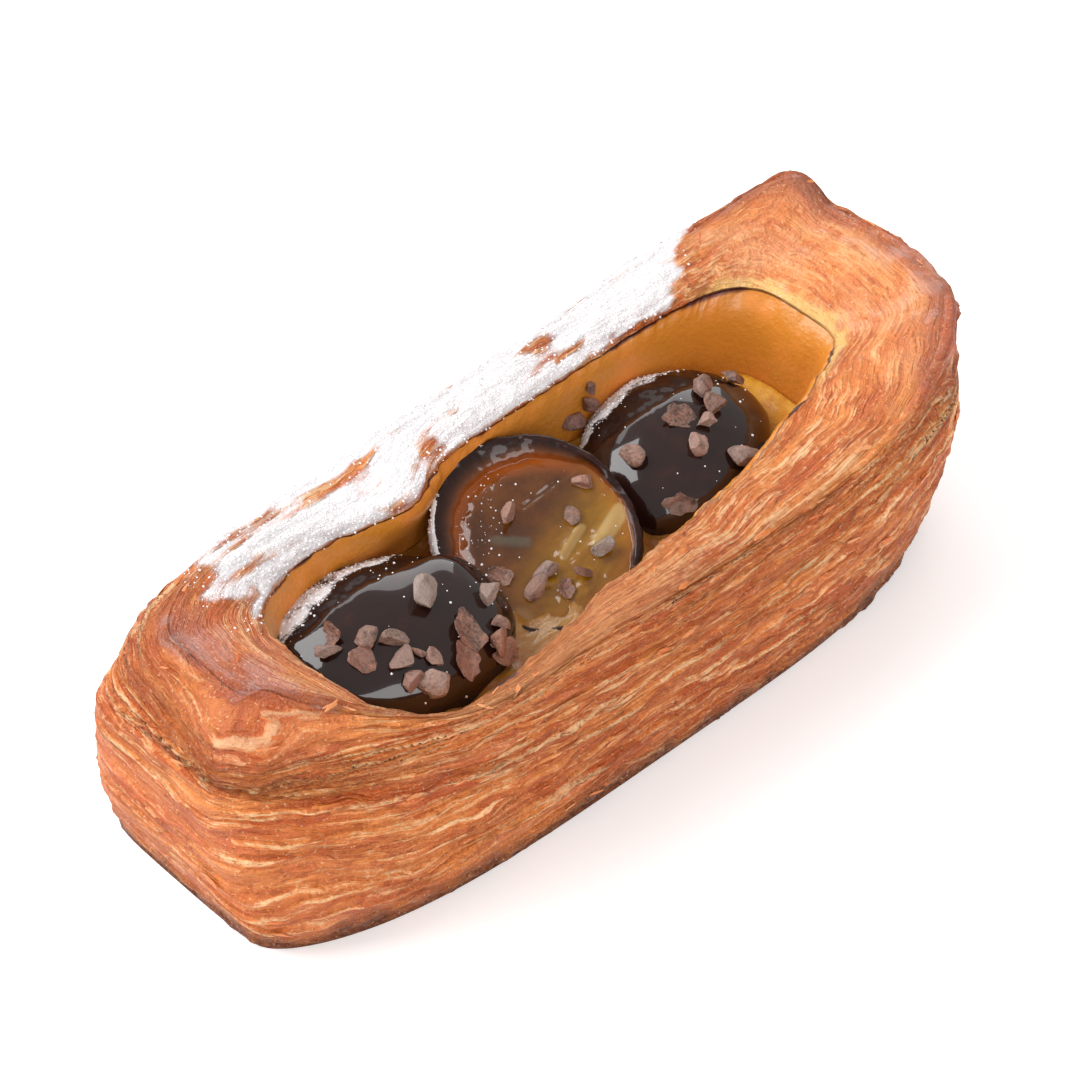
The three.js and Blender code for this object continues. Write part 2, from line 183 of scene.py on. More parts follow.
def outline_points(row, angle, inset=0):
    """Points of one outline at plan angles. An inset draws it in on all sides."""
    outline = OUTLINES[row]
    c, s = np.cos(angle), np.sin(angle)
    power = outline.square
    reach = (np.abs(c) ** power + np.abs(s) ** power) ** (-1 / power)
    along, across = reach * c, reach * s
    arch = 1 - np.abs(along) ** outline.narrowing

    def half_width(widths):
        at_left, at_middle, at_right = widths
        return lerp(at_left, at_right, (along + 1) / 2) + (at_middle - (at_left + at_right) / 2) * arch

    front, back, left_end, right_end = outline.height
    x = along * (np.where(along < 0, outline.left, outline.right) - inset)
    y = across * (np.where(across < 0, half_width(outline.front), half_width(outline.back)) - inset)
    middle = lerp(front, back, smoothstep(-1, 1, across))
    z = lerp(middle, np.where(along < 0, left_end, right_end), smoothstep(RISE_FROM, 1, np.abs(along)))
    if row <= CREST:
        x = x + np.where(along < 0, -END_CROWN[0], END_CROWN[1]) * (1 - across ** 2) * along ** 4
    points = np.stack([x, y, z], axis=-1)
    for pull in PULLS:
        off = (np.degrees(angle) - pull.at + 180) % 360 - 180
        strength = pull.share.get(row, 0) * np.exp(-((off / pull.width) ** 2))
        points = points + strength[..., None] * np.array(pull.move)
    return points - np.array([*CENTRE, 0])


def skin(steps, angles, inset=0):
    """The dough's surface on a grid: steps is rows by columns, and whole numbers are outlines."""
    knots = np.stack([outline_points(row, angles, inset) for row in range(len(OUTLINES))])
    last = len(OUTLINES) - 1
    start = np.clip(np.floor(steps).astype(int), 0, last - 1)
    t = (steps - start)[..., None]
    columns = np.arange(len(angles))[None, :]
    p0, p1, p2, p3 = (knots[np.clip(start + k, 0, last), columns] for k in (-1, 0, 1, 2))
    slope1, slope2 = (p2 - p0) / 2, (p3 - p1) / 2
    bend = 2 * (p1 - p2) + slope1 + slope2
    points = ((bend * t - 3 * (p1 - p2) - 2 * slope1 - slope2) * t + slope1) * t + p1
    points[..., 2] = np.maximum(points[..., 2], 0)
    return points


FINE_ANGLES = 3601          # plan angles by which the crest's length is measured


def even_angles(count, crowding=0.0):
    """Plan angles along the crest, their distance along it and its length. They stand evenly, or
    closer together at the front where crowding is above 0."""
    fine = np.linspace(0, 2 * math.pi, FINE_ANGLES)
    crest = outline_points(CREST, fine)[:, :2]
    steps = np.linalg.norm(np.diff(crest, axis=0), axis=1)
    length = np.concatenate([[0], np.cumsum(steps)])
    weight = 1 - crowding * np.clip(np.sin(fine[1:]), -1, 1)
    crowd = np.concatenate([[0], np.cumsum(steps * weight)])
    angles = np.interp(np.arange(count) / count * crowd[-1], crowd, fine)
    return angles, np.interp(angles, fine, length), length[-1]


# ---- Meshes ----------------------------------------------------------------------------------


def loft_faces(rows, columns):
    """Quads of a closed grid of rows, and the fans at its two poles, which follow the grid's points."""
    i, j = np.meshgrid(np.arange(rows - 1), np.arange(columns), indexing="ij")
    k = (j + 1) % columns
    this_row, next_row = i * columns, (i + 1) * columns
    quads = np.stack([this_row + j, this_row + k, next_row + k, next_row + j], axis=-1)
    faces = quads.reshape(-1, 4).tolist()
    first_pole, last_row = rows * columns, (rows - 1) * columns
    faces += [[first_pole, (c + 1) % columns, c] for c in range(columns)]
    faces += [[last_row + c, last_row + (c + 1) % columns, first_pole + 1] for c in range(columns)]
    return faces


def add_piece(name, points, faces, material, node=None, fields=None):
    """A mesh object in metres at the origin that rides on the danish, from points in millimetres."""
    mesh = bpy.data.meshes.new(name)
    mesh.from_pydata((np.asarray(points) * MM).tolist(), [], faces)
    mesh.shade_smooth()
    for key, values in (fields or {}).items():
        values = np.asarray(values, np.float32)
        vector = values.ndim == 2
        layer = mesh.attributes.new(key, "FLOAT_VECTOR" if vector else "FLOAT", "POINT")
        layer.data.foreach_set("vector" if vector else "value", values.ravel())
    mesh.materials.append(material)
    piece = bpy.data.objects.new(name, mesh)
    bpy.context.scene.collection.objects.link(piece)
    keep(piece, node)
    return piece


def keep(piece, node=None):
    """Makes a piece part of the danish, in the place of a solid where one is named."""
    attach(piece, "root")
    if node:
        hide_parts(node)


def vertex_vectors(mesh, key):
    """The co or the normal of every vertex of a mesh."""
    flat = np.empty(len(mesh.vertices) * 3, np.float32)
    mesh.vertices.foreach_get(key, flat)
    return flat.reshape(-1, 3)


def vertex_field(mesh, name):
    """The value of a field at every vertex of a mesh."""
    values = np.empty(len(mesh.vertices), np.float32)
    mesh.attributes[name].data.foreach_get("value", values)
    return values


# ---- Materials -------------------------------------------------------------------------------


def srgb(*channels):
    """A colour as a screen shows it, from 0 to 255, in linear numbers."""
    shares = [channel / 255 for channel in channels]
    return tuple(v / 12.92 if v < 10 / 255 else ((v + 0.055) / 1.055) ** 2.4 for v in shares)


class Field:
    """A number that varies over a surface: the output of a node, with Python's own operators."""

    def __init__(self, recipe, socket):
        self.recipe = recipe
        self.socket = socket

    def __add__(self, other):
        return self.recipe.math("ADD", self, other)

    def __sub__(self, other):
        return self.recipe.math("SUBTRACT", self, other)

    def __mul__(self, other):
        return self.recipe.math("MULTIPLY", self, other)

    def __rsub__(self, other):
        return self.recipe.math("SUBTRACT", other, self)

    __radd__ = __add__
    __rmul__ = __mul__

    def step(self, low, high):
        """0 below low, 1 above high, smooth between them."""
        return self.recipe.node(
            "ShaderNodeMapRange", {"interpolation_type": "SMOOTHSTEP"},
            Value=self, From_Min=low, From_Max=high,
        ).out("Result")


class Made:
    """A node of a recipe, from which outputs are taken."""

    def __init__(self, recipe, node):
        self.recipe = recipe
        self.node = node

    def out(self, name=0):
        return Field(self.recipe, self.node.outputs[name])


def plug(tree, socket, value):
    """Links an output to a socket, or sets the socket's value. A colour gets its alpha."""
    source = value.socket if isinstance(value, Field) else value
    if isinstance(source, bpy.types.NodeSocket):
        tree.links.new(source, socket)
    elif socket.type == "RGBA":
        socket.default_value = (*value, 1)
    else:
        socket.default_value = value


def add_node(tree, kind, settings=None, **inputs):
    """A node with its settings and inputs. An input goes by its label, or by i and its number."""
    node = tree.nodes.new(kind)
    for key, value in (settings or {}).items():
        setattr(node, key, value)
    for key, value in inputs.items():
        numbered = key[1:].isdigit()
        plug(tree, node.inputs[int(key[1:]) if numbered else key.replace("_", " ")], value)
    return node


class Recipe:
    """A material that is written as expressions on fields."""

    def __init__(self, name):
        self.material = bpy.data.materials.new(name)
        self.material.use_nodes = True
        self.tree = self.material.node_tree
        self.shader = self.tree.nodes["Principled BSDF"]
        self.place = self.node("ShaderNodeTexCoord").out("Object")

    def node(self, kind, settings=None, **inputs):
        return Made(self, add_node(self.tree, kind, settings, **inputs))

    def math(self, operation, a, b):
        return self.node("ShaderNodeMath", {"operation": operation}, i0=a, i1=b).out()

    def field(self, name):
        return self.node("ShaderNodeAttribute", {"attribute_name": name}).out("Fac")

    def vector_field(self, name):
        return self.node("ShaderNodeAttribute", {"attribute_name": name}).out("Vector")

    def stretch(self, vector, scale):
        return self.node("ShaderNodeVectorMath", {"operation": "MULTIPLY"}, i0=vector, i1=scale).out()

    def noise(self, scale, detail, rough, at=None):
        """Noise from about 0 to 1 in the piece's place, or in another one."""
        return self.node(
            "ShaderNodeTexNoise", None, Vector=at or self.place,
            Scale=float(scale), Detail=float(detail), Roughness=rough,
        ).out("Fac")

    def cells(self, at):
        """A number from 0 to 1 for each cell of a mosaic."""
        return self.node("ShaderNodeTexVoronoi", None, Vector=at, Scale=1.0).out("Color")

    def cell_edges(self, at):
        """The way to the edge of a mosaic's cell, 0 on the edge."""
        settings = {"feature": "DISTANCE_TO_EDGE"}
        return self.node("ShaderNodeTexVoronoi", settings, Vector=at, Scale=1.0).out("Distance")

    def mix(self, amount, first, second):
        """The first colour where amount is 0 and the second where it is 1."""
        settings = {"data_type": "RGBA", "clamp_factor": True}
        return self.node("ShaderNodeMix", settings, i0=amount, i6=first, i7=second).out(2)

    def bump(self, height, distance, strength=1.0):
        return self.node(
            "ShaderNodeBump", None, Height=height, Distance=distance, Strength=strength,
        ).out("Normal")

    def finish(self, **inputs):
        for key, value in inputs.items():
            plug(self.tree, self.shader.inputs[key.replace("_", " ")], value)
        return self.material


# ---- Settings --------------------------------------------------------------------------------


def colour_setting(name, description, default):
    return FloatVectorProperty(
        name=name, description=description, subtype="COLOR", size=3, min=0, max=1, default=default,
    )


def length_setting(name, description, default):
    return FloatProperty(
        name=name, description=description, unit="LENGTH", min=0, precision=5, default=default,
    )


def power_setting(name, default):
    return FloatProperty(name=name, description="Power in watts", min=0, default=default)


class DoughSettings(bpy.types.PropertyGroup):
    """The baked dough."""

    layers: IntProperty(name="Layers", description="Layers that show on the outside", default=21, min=4)
    layer_lift: length_setting("Layer lift", "How far a layer's edge stands out", 0.0009)
    blister: length_setting("Blisters", "Height of the fine blisters between layers", 0.0005)
    fold_step: length_setting("Fold", "How far the lower tier of the left end stands out", 0.0009)
    columns: IntProperty(name="Columns", description="Points round the dough", default=470, min=60)
    flakes: IntProperty(name="Flakes", description="Loose flakes on the layers", default=150, min=1)
    # The pale edges are partly the dough's own colour and partly painted highlight; pale also paints the
    # glints.
    pale: colour_setting("Pale layers", "Thin pale edges of the layers", srgb(255, 204, 150))
    golden: colour_setting("Golden crust", "Most of the crust", srgb(234, 138, 64))
    deep: colour_setting("Deep crust", "Between the layers", srgb(206, 98, 38))
    baked: colour_setting("Browned crust", "Egg-washed and well-browned places", srgb(170, 78, 40))
    # The satin colour is laid on as painted sheen on the right end and as painted light on the front rim.
    satin: colour_setting("Satin crust", "Smooth washed crust of the right end", srgb(238, 154, 94))
    # The grooves' colour is painted shade between the layers.
    crevice_shade: colour_setting("Grooves", "Dark lines between layers", srgb(156, 68, 26))
    burnt: colour_setting("Dark edges", "Caramelised edges and spots", srgb(98, 38, 16))
    crumb: colour_setting("Base crumb", "Grainy crust at the base", srgb(152, 86, 46))
    wall: colour_setting("Inner wall", "Soft dough inside the hollow", srgb(206, 130, 44))
    lip: colour_setting("Pale lip", "Thin soft dough round the mouth at the right end", srgb(252, 204, 124))


class SugarSettings(bpy.types.PropertyGroup):
    """Powdered sugar on the back rim and on the chestnuts."""

    white: colour_setting("Sugar", "Powdered sugar", srgb(248, 245, 247))
    grain: length_setting("Grain", "Size of the largest grains", 0.00052)
    density: FloatProperty(
        name="Grains", description="Grains on a square metre where it is thick", default=2.2e6, min=0,
    )


class CustardSettings(bpy.types.PropertyGroup):
    """The baked custard."""

    bright: colour_setting("Custard", "Custard in the light", srgb(234, 182, 60))
    shaded: colour_setting("Deep custard", "Hollows of the custard", srgb(206, 132, 30))
    syrup: colour_setting("Syrup", "Custard soaked with syrup between the chestnuts", srgb(134, 84, 22))
    lump: length_setting("Lumps", "Height of the fine lumps", 0.0005)


class ChestnutSettings(bpy.types.PropertyGroup):
    """The candied chestnut halves."""

    glaze: colour_setting("Glazed skin", "Skin under the glaze", srgb(34, 16, 12))
    glaze_thin: colour_setting("Thin glaze", "Skin where the glaze is thin", srgb(62, 26, 14))
    flesh: colour_setting("Flesh", "Syrup-soaked flesh", srgb(98, 54, 18))
    flesh_olive: colour_setting("Olive flesh", "Yellower flesh", srgb(146, 102, 22))
    flesh_dark: colour_setting("Dark flesh", "Darker flesh", srgb(74, 40, 18))
    # Painted glow of light shining through the flesh under the rim.
    glow: colour_setting("Glow", "Flesh under the rim", srgb(180, 86, 12))
    # Pale also paints the reflection along the raised strip.
    pale: colour_setting("Pale piece", "Pale piece and crumbs in the flesh", srgb(186, 158, 104))
    smear: colour_setting("Smear", "Grey-green piece of inner skin", srgb(92, 92, 82))
    rim: colour_setting("Skin rim", "Dark skin round the flesh", srgb(46, 20, 14))
    uneven: length_setting("Unevenness", "How far the skin swells and dips", 0.0004)


class NibSettings(bpy.types.PropertyGroup):
    """Chips of roasted cacao bean."""

    brown: colour_setting("Brown nib", "Red-brown chips", srgb(130, 82, 66))
    grey: colour_setting("Grey nib", "Mauve-grey chips", srgb(140, 128, 122))
    dark: colour_setting("Dark nib", "Broken faces", srgb(58, 34, 30))
    pale: colour_setting("Pale nib", "Dusty faces", srgb(190, 150, 128))


class StageSettings(bpy.types.PropertyGroup):
    """Floor, light and camera."""

    floor: colour_setting("Floor", "Pale floor", (0.92, 0.92, 0.92))
    glow: FloatProperty(name="Floor glow", description="Light from under the floor", default=0.25, min=0)
    back: power_setting("Back softbox", 7.5)
    key: power_setting("Side softbox", 19.0)
    fill: power_setting("Front softbox", 9.5)
    sky: FloatProperty(
        name="Surroundings", description="Strength of the plain surroundings", default=0.57, min=0,
    )


GROUPS = {
    "dough": DoughSettings,
    "sugar": SugarSettings,
    "custard": CustardSettings,
    "chestnut": ChestnutSettings,
    "nib": NibSettings,
    "stage": StageSettings,
}


class DanishSettings(bpy.types.PropertyGroup):
    """All settings of the danish."""

    dough: PointerProperty(type=DoughSettings)
    sugar: PointerProperty(type=SugarSettings)
    custard: PointerProperty(type=CustardSettings)
    chestnut: PointerProperty(type=ChestnutSettings)
    nib: PointerProperty(type=NibSettings)
    stage: PointerProperty(type=StageSettings)


# ---- Dough -----------------------------------------------------------------------------------

OUTER_ROWS = 150
TOP_ROWS = 34
WALL_ROWS = 10
UNDERSIDE_SHARES = (0.5, 0.9, 0.97)
FRONT_CROWDING = 0.32       # share by which columns stand closer at the front than at the sides

# Where the ends, the back and the front start and where they are full, in mm from the middle.
LEFT_END = (-50, -66)
RIGHT_END = (44, 64)
BACK = (2, 16)
FRONT = (-4, -14)

FOLD_HEIGHT = 0.53          # share of the height at which the left end's fold runs
CREASE_WIDTH = 0.011        # share of the height
CREASE_DEPTH = 1.1          # mm
CORNER_ANGLES = (45, -45, 135, FRONT_LEFT)
CORNER_REACH = 9            # mm along the crest over which a corner is browned
FANS = ((FRONT_LEFT, 30), (-43, 42))     # the layers fan out from these corners over so many mm
NARROWEST_FAN = 0.14        # share of their own width that the layers keep at a fan's corner
TOP_LAYERS = 8              # layers that the top shows between the crest and the lip
TORN_LIP = 0.12             # part of the step past the lip that is torn and crisp, too

# Edges of the layers: how many stand in a layer, their width and shift as shares of it, and how
# strong they are. An edge comes up slowly from below to its ridge and falls off sharply above it.
LAYER_EDGES = ((1.0, 0.2, 0.0, 1.0), (2.0, 0.24, 0.35, 0.5))
EDGE_RIDGE = 0.62           # share of a layer's height
EDGE_FALL = 0.55            # share of an edge's width
EVEN_CREST = 0.35           # the crest's value on even crust


def dough_steps():
    """The rows as steps between the outlines: up the outside, over the top and down the wall."""
    return np.concatenate([
        np.linspace(FOOT, CREST, OUTER_ROWS, endpoint=False),
        np.linspace(CREST, LIP, TOP_ROWS, endpoint=False),
        np.linspace(LIP, WALL, WALL_ROWS, endpoint=False),
        np.array([WALL, (WALL + FLOOR) / 2, FLOOR]),
    ])


class DoughGrid:
    """The dough's smooth surface as a grid of points, and where each of them lies."""

    def __init__(self, settings):
        self.angles, self.arc, self.perimeter = even_angles(settings.columns, FRONT_CROWDING)
        rows = dough_steps()[:, None]
        self.steps = np.broadcast_to(rows, (len(rows), settings.columns))
        self.points = skin(self.steps, self.angles)
        self.x, self.y, self.z = (self.points[..., axis] for axis in range(3))
        self.outer = self.steps < CREST
        self.top = (self.steps >= CREST) & (self.steps < LIP)
        self.wall = self.steps >= LIP
        self.before_lip = self.steps < LIP
        self.share = np.clip(self.steps / CREST, 0, 1)                    # 0 at the foot, 1 at the crest
        self.over = np.clip((self.steps - CREST) / (LIP - CREST), 0, 1)   # 0 at the crest, 1 at the lip
        self.left_end = smoothstep(*LEFT_END, self.x)
        self.right_end = smoothstep(*RIGHT_END, self.x)
        self.ends = np.maximum(self.left_end, self.right_end)
        self.back = smoothstep(*BACK, self.y) * (1 - self.right_end)
        self.front = smoothstep(*FRONT, self.y)
        radius = self.perimeter / (2 * math.pi)
        self.fx = radius * np.cos(self.arc / radius)[None, :]
        self.fy = radius * np.sin(self.arc / radius)[None, :]
        self.place = self.layer_place(settings.layers)
        self.crest = self.layer_crest()
        wander = 0.05 * noise(self.fx / 3, self.fy / 3, 4, 24)
        self.base_grain = 1 - smoothstep(0.03, 0.17, self.share + wander)
        self.soft_top = 1 - smoothstep(0.93, 1.0, self.share) * 0.75
        self.place_over = self.place + TOP_LAYERS * self.over
        self.fibre = 1.4 * noise(self.fx / 9, self.fy / 9, self.place_over * 0.9, 58)
        self.fibre = self.fibre + 0.8 * noise(self.fx / 5, self.fy / 5, self.place_over * 2.1, 59)
        self.rough = self.lumps(1.9, 54)

    def lumps(self, size, seed, octaves=3):
        """Noise that is alike in all directions, with features so many mm wide."""
        return fractal(self.x / size, self.y / size, self.z / size, seed, octaves)

    def arc_to(self, degrees):
        """Distance in mm along the crest from each column to a plan angle, either way round."""
        off = np.abs(self.arc - np.interp(math.radians(degrees % 360), self.angles, self.arc))
        return np.minimum(off, self.perimeter - off)

    def layer_place(self, layers):
        """Place in the stack of layers, which fan out from two corners and wander a little."""
        fx, fy, share = self.fx, self.fy, self.share
        spread = np.clip(np.minimum(*(self.arc_to(at) / reach for at, reach in FANS)), NARROWEST_FAN, 1)
        above = np.clip((share - FOLD_HEIGHT) / (1 - FOLD_HEIGHT), 0, 1)
        fanned = FOLD_HEIGHT + (1 - FOLD_HEIGHT) * (1 - (1 - above) ** (1 / spread))
        place = layers * (0.8 * np.where(share > FOLD_HEIGHT, fanned, share) + 0.2 * share)
        place = place + 1.1 * noise(fx / 30, fy / 30, share * 3, 3)
        place = place + 0.5 * noise(fx / 12, fy / 12, share * 9, 4)
        return place + 0.24 * noise(fx / 4, fy / 4, share * 26, 5)

    def layer_crest(self):
        """How far each point is up a layer's edge: 0 between the edges, about 1 on them."""
        crest = 0
        for times, width, shift, weight in LAYER_EDGES:
            stack = self.place * times + shift
            number = np.floor(stack)
            inside = stack - number
            uneven = fractal(self.fx / 15, self.fy / 15, number * 5.3, 8, 2)
            strength = np.clip(0.45 + 1.5 * uneven, 0.05, 1.3)
            below, above = (EDGE_RIDGE - inside) / width, (inside - EDGE_RIDGE) / (EDGE_FALL * width)
            sharp = np.where(inside < EDGE_RIDGE, below, above)
            crest = np.maximum(crest, weight * strength * np.exp(-(sharp ** 2)))
        return crest


def outer_relief(grid, settings):
    """Layer edges, blisters drawn out along the layers, the grainy base and the left end's fold."""
    fx, fy, place, share = grid.fx, grid.fy, grid.place, grid.share
    layered = 1 - grid.base_grain
    lift = settings.layer_lift / MM
    edges = lift * (grid.crest - EVEN_CREST) * grid.soft_top * (1 - 0.6 * grid.base_grain)
    swells = 0.5 * fractal(fx / 16, fy / 16, place / 4, 21, 3)
    long_ripples = 0.32 * noise(fx / 24, fy / 24, place * 1.2, 22) * layered
    short_ripples = 0.26 * noise(fx / 8, fy / 8, place * 2.4, 23) * layered
    blisters = settings.blister / MM * fractal(fx / 2.6, fy / 2.6, place * 1.5, 31, 3)
    crumbs = 0.45 * grid.base_grain * fractal(grid.x / 1.6, grid.y / 1.6, grid.z / 1.1, 41, 3)
    under_fold = smoothstep(FOLD_HEIGHT + 0.02, FOLD_HEIGHT - 0.015, share) * smoothstep(0.1, 0.35, share)
    fold = settings.fold_step / MM * grid.left_end * under_fold
    off_crease = (share - FOLD_HEIGHT - 0.008) / CREASE_WIDTH
    crease = CREASE_DEPTH * (np.exp(-(off_crease ** 2)) * smoothstep(-40, -60, grid.x))
    relief = edges + swells + long_ripples + short_ripples + blisters + crumbs + fold - crease
    return relief * grid.outer * smoothstep(0, 0.015, share)


def top_relief(grid):
    """Fibres and ripples of the top, which start a little below the crest."""
    relief = 0.22 * grid.fibre + 0.6 * grid.lumps(9, 53) + 0.3 * grid.rough * (1 - 0.6 * grid.ends)
    return relief * np.maximum(grid.top, 0.55 * smoothstep(0.9, 1, grid.share) * grid.outer)


def lip_relief(grid):
    """The torn edge round the mouth."""
    tear = smoothstep(0.8, 1.0, grid.over) * fractal(grid.fx / 2.4, grid.fy / 2.4, 3, 55, 3)
    return 0.7 * tear * (grid.top | (grid.steps < LIP + TORN_LIP))


def wall_relief(grid):
    """Gentle dents of the soft dough inside the hollow."""
    dents = 0.3 * grid.lumps(7, 56, 2) + 0.04 * noise(grid.x / 1.3, grid.y / 1.3, grid.z / 1.6, 57)
    return dents * grid.wall


def egg_wash(grid):
    """How much egg wash covers the ends' tops."""
    over_top = 1 - 0.5 * smoothstep(0.9, 1, grid.over)
    cover = np.where(grid.outer, smoothstep(0.93, 1.0, grid.share), over_top) * grid.before_lip
    return np.clip(cover * grid.ends * (0.9 - 0.3 * grid.rough), 0, 1)


def browning(grid, wash):
    """How brown the crust is baked: most on the corners, the ends' ridges and the right end."""
    facet = grid.left_end * smoothstep(FOLD_HEIGHT, FOLD_HEIGHT + 0.1, grid.share) * grid.outer
    up = smoothstep(0.45, 0.95, grid.share)
    corners = sum(np.exp(-((grid.arc_to(at)[None, :] / CORNER_REACH) ** 2)) * up for at in CORNER_ANGLES)
    corners = corners * (grid.steps < CREST + 0.5)
    near_crest = np.where(grid.outer, smoothstep(0.9, 1, grid.share), 1 - smoothstep(0.05, 0.3, grid.over))
    ridge = grid.ends * near_crest * grid.before_lip
    bake = 0.1 + 0.4 * wash * grid.left_end + (0.3 + 0.45 * grid.right_end) * ridge
    bake = bake + 0.3 * facet + 0.4 * corners
    bake = bake + 0.5 * smoothstep(30, 70, grid.x) * smoothstep(0.4, 0.9, grid.share) * grid.outer
    bake = bake + 0.3 * fractal(grid.x / 12, grid.y / 12, grid.z / 6, 61, 3)
    # Painted light on the front rim takes some browning away.
    pale_rim = 0.25 * grid.front * smoothstep(0.85, 1, grid.share) * (1 - grid.ends)
    return np.clip(bake - pale_rim, 0, 1) * grid.before_lip


def sugaring(grid):
    """How thick the powdered sugar lies along the back rim, and how far it stands up in mm."""
    x, y, z = grid.x, grid.y, grid.z
    torn = 7 * fractal(x / 9, y / 4, z / 9, 66, 3)
    right_side = 45 + 1.1 * (y - 17) + torn
    sugared = smoothstep(-60, -53, x + torn) * (1 - smoothstep(right_side - 5, right_side + 3, x))
    sugared = sugared * smoothstep(6, 12, y)
    sugared = sugared * smoothstep(0.7, 0.92, grid.share) * (1 - 0.8 * smoothstep(0.84, 0.98, grid.over))
    sugared = sugared * grid.before_lip
    patch = fractal(grid.fx / 11, grid.fy / 11, grid.place_over / 1.6, 62, 3)
    heaped = np.clip(sugared * (1.0 + 1.7 * patch), 0, 1)
    clumps = 0.35 * np.abs(fractal(x / 2.6, y / 1.8, z / 2, 64, 3))
    clumps = clumps + 0.15 * noise(x / 0.9, y / 0.9, z / 0.9, 65)
    return heaped, heaped * (0.15 + clumps)


def crisp_edge(grid):
    """Where the lip's edge is dark and crisp: in patches, and most at the back right."""
    edge = smoothstep(0.93, 0.98, grid.over) * (1 - smoothstep(LIP, LIP + TORN_LIP, grid.steps))
    patch = fractal(grid.fx / 9, grid.fy / 9, 5, 63, 2)
    return edge * np.clip(0.2 + 1.1 * smoothstep(22, 36, grid.x) * grid.back + 1.6 * patch, 0, 1)


def front_rim_light(grid):
    """Where painted light brightens the rim over the left half of the front."""
    rim = np.where(grid.outer, smoothstep(0.66, 0.97, grid.share), 1) * grid.before_lip
    left_half = smoothstep(12, -12, grid.x) * smoothstep(-50, -38, grid.x)
    return (0.8 + 0.5 * grid.rough) * grid.front * rim * left_half


def dough_mesh(settings):
    """Points, faces and fields of the dough."""
    grid = DoughGrid(settings)
    wash = egg_wash(grid)
    heaped, heap_height = sugaring(grid)
    relief = outer_relief(grid, settings) + top_relief(grid) + lip_relief(grid) + wall_relief(grid)
    points = grid.points + grid_normals(grid.points) * (relief + heap_height)[..., None]
    points[0, :, 2] = 0
    points[..., 2] = np.maximum(points[..., 2], 0)

    # The underside: the foot's row drawn in to one point.
    under = [points[0] * np.array([part, part, 0]) for part in UNDERSIDE_SHARES]
    rows = np.concatenate([np.stack(under), points])
    poles = np.array([[0, 0, 0], [*(-np.array(CENTRE)), OUTLINES[FLOOR].height[0]]])

    def full(values, below=0.0):
        """A field of the whole mesh from its values on the grid and its value below."""
        grid_values = values * np.ones(grid.steps.shape)
        every = np.concatenate([np.full((len(under), settings.columns), below), grid_values])
        return np.concatenate([every.ravel(), [below, 0.0]])

    top_crest = EVEN_CREST + 0.3 * np.clip(grid.fibre, -1, 1)
    outer_crest = grid.crest * grid.soft_top + EVEN_CREST * (1 - grid.soft_top)
    pale_lip = smoothstep(0.8, 0.94, grid.over + 0.12 * grid.rough) * (grid.steps < LIP + 0.1)
    near_crest = np.where(grid.outer, smoothstep(0.94, 1, grid.share), 1) * grid.before_lip
    fields = {
        "crest": full(np.where(grid.outer, outer_crest, top_crest)),
        "bake": full(browning(grid, wash), 0.45),
        "wash": full(wash),
        "sugar": full(heaped),
        "lip": full(pale_lip * smoothstep(44, 54, grid.x)),
        "pale_rim": full(front_rim_light(grid)),
        "calm": full(wash * grid.left_end * (0.4 + 0.6 * grid.top)),
        "satin": full(grid.right_end * near_crest),
        "low": full(1 - smoothstep(0.05, 0.5, grid.share), 1.0),
        "crisp": full(crisp_edge(grid)),
        "inside": full(grid.wall * 1.0),
        "base": full(grid.base_grain * grid.outer, 1.0),
        "flow": np.stack([full(part) for part in (grid.fx, grid.fy, grid.place_over)], axis=-1),
    }
    return np.concatenate([rows.reshape(-1, 3), poles]), loft_faces(len(rows), settings.columns), fields


class CrustPatterns:
    """Patterns that the crust's colour and relief share. Each is a number from about 0 to 1."""

    def __init__(self, recipe):
        self.recipe = recipe
        self.flow = recipe.vector_field("flow")
        self.band = self.streaks(0.035, 0.45)
        self.strand = self.streaks(0.07, 2.2)
        self.thread = self.streaks(0.14, 5.5)
        torn = self.torn_places(0.1, 1.0, 1.4)
        self.plate = recipe.cells(torn)
        self.edge = recipe.cell_edges(torn)
        self.flake = recipe.cells(self.torn_places(0.22, 2.8, 0.9))
        self.cloud = recipe.noise(110, 4, 0.6)
        self.clump = recipe.noise(420, 4, 0.65)
        self.fine = recipe.noise(900, 3, 0.65)
        self.grain = recipe.noise(1500, 3, 0.7)
        self.glint_speck = recipe.noise(1900, 2, 0.5)
        # Smooth washed crust of the ends shows less of its layers.
        self.even = (1 - recipe.field("satin") * 0.45) * (1 - recipe.field("calm") * 0.6)

    def streaks(self, along, over):
        """Streaks along the layers, by their fineness along and over them."""
        return self.recipe.noise(1.0, 3, 0.6, self.recipe.stretch(self.flow, (along, along, over)))

    def torn_places(self, along, over, amount):
        """Places along and over the layers, shifted so that cells there have torn outlines."""
        at = self.recipe.stretch(self.flow, (along, along, over))
        shift = self.recipe.node("ShaderNodeTexNoise", None, Vector=at, Scale=1.3, Detail=2.0).out("Color")
        return self.recipe.node(
            "ShaderNodeVectorMath", {"operation": "MULTIPLY_ADD"}, i0=shift, i1=(amount,) * 3, i2=at,
        ).out()


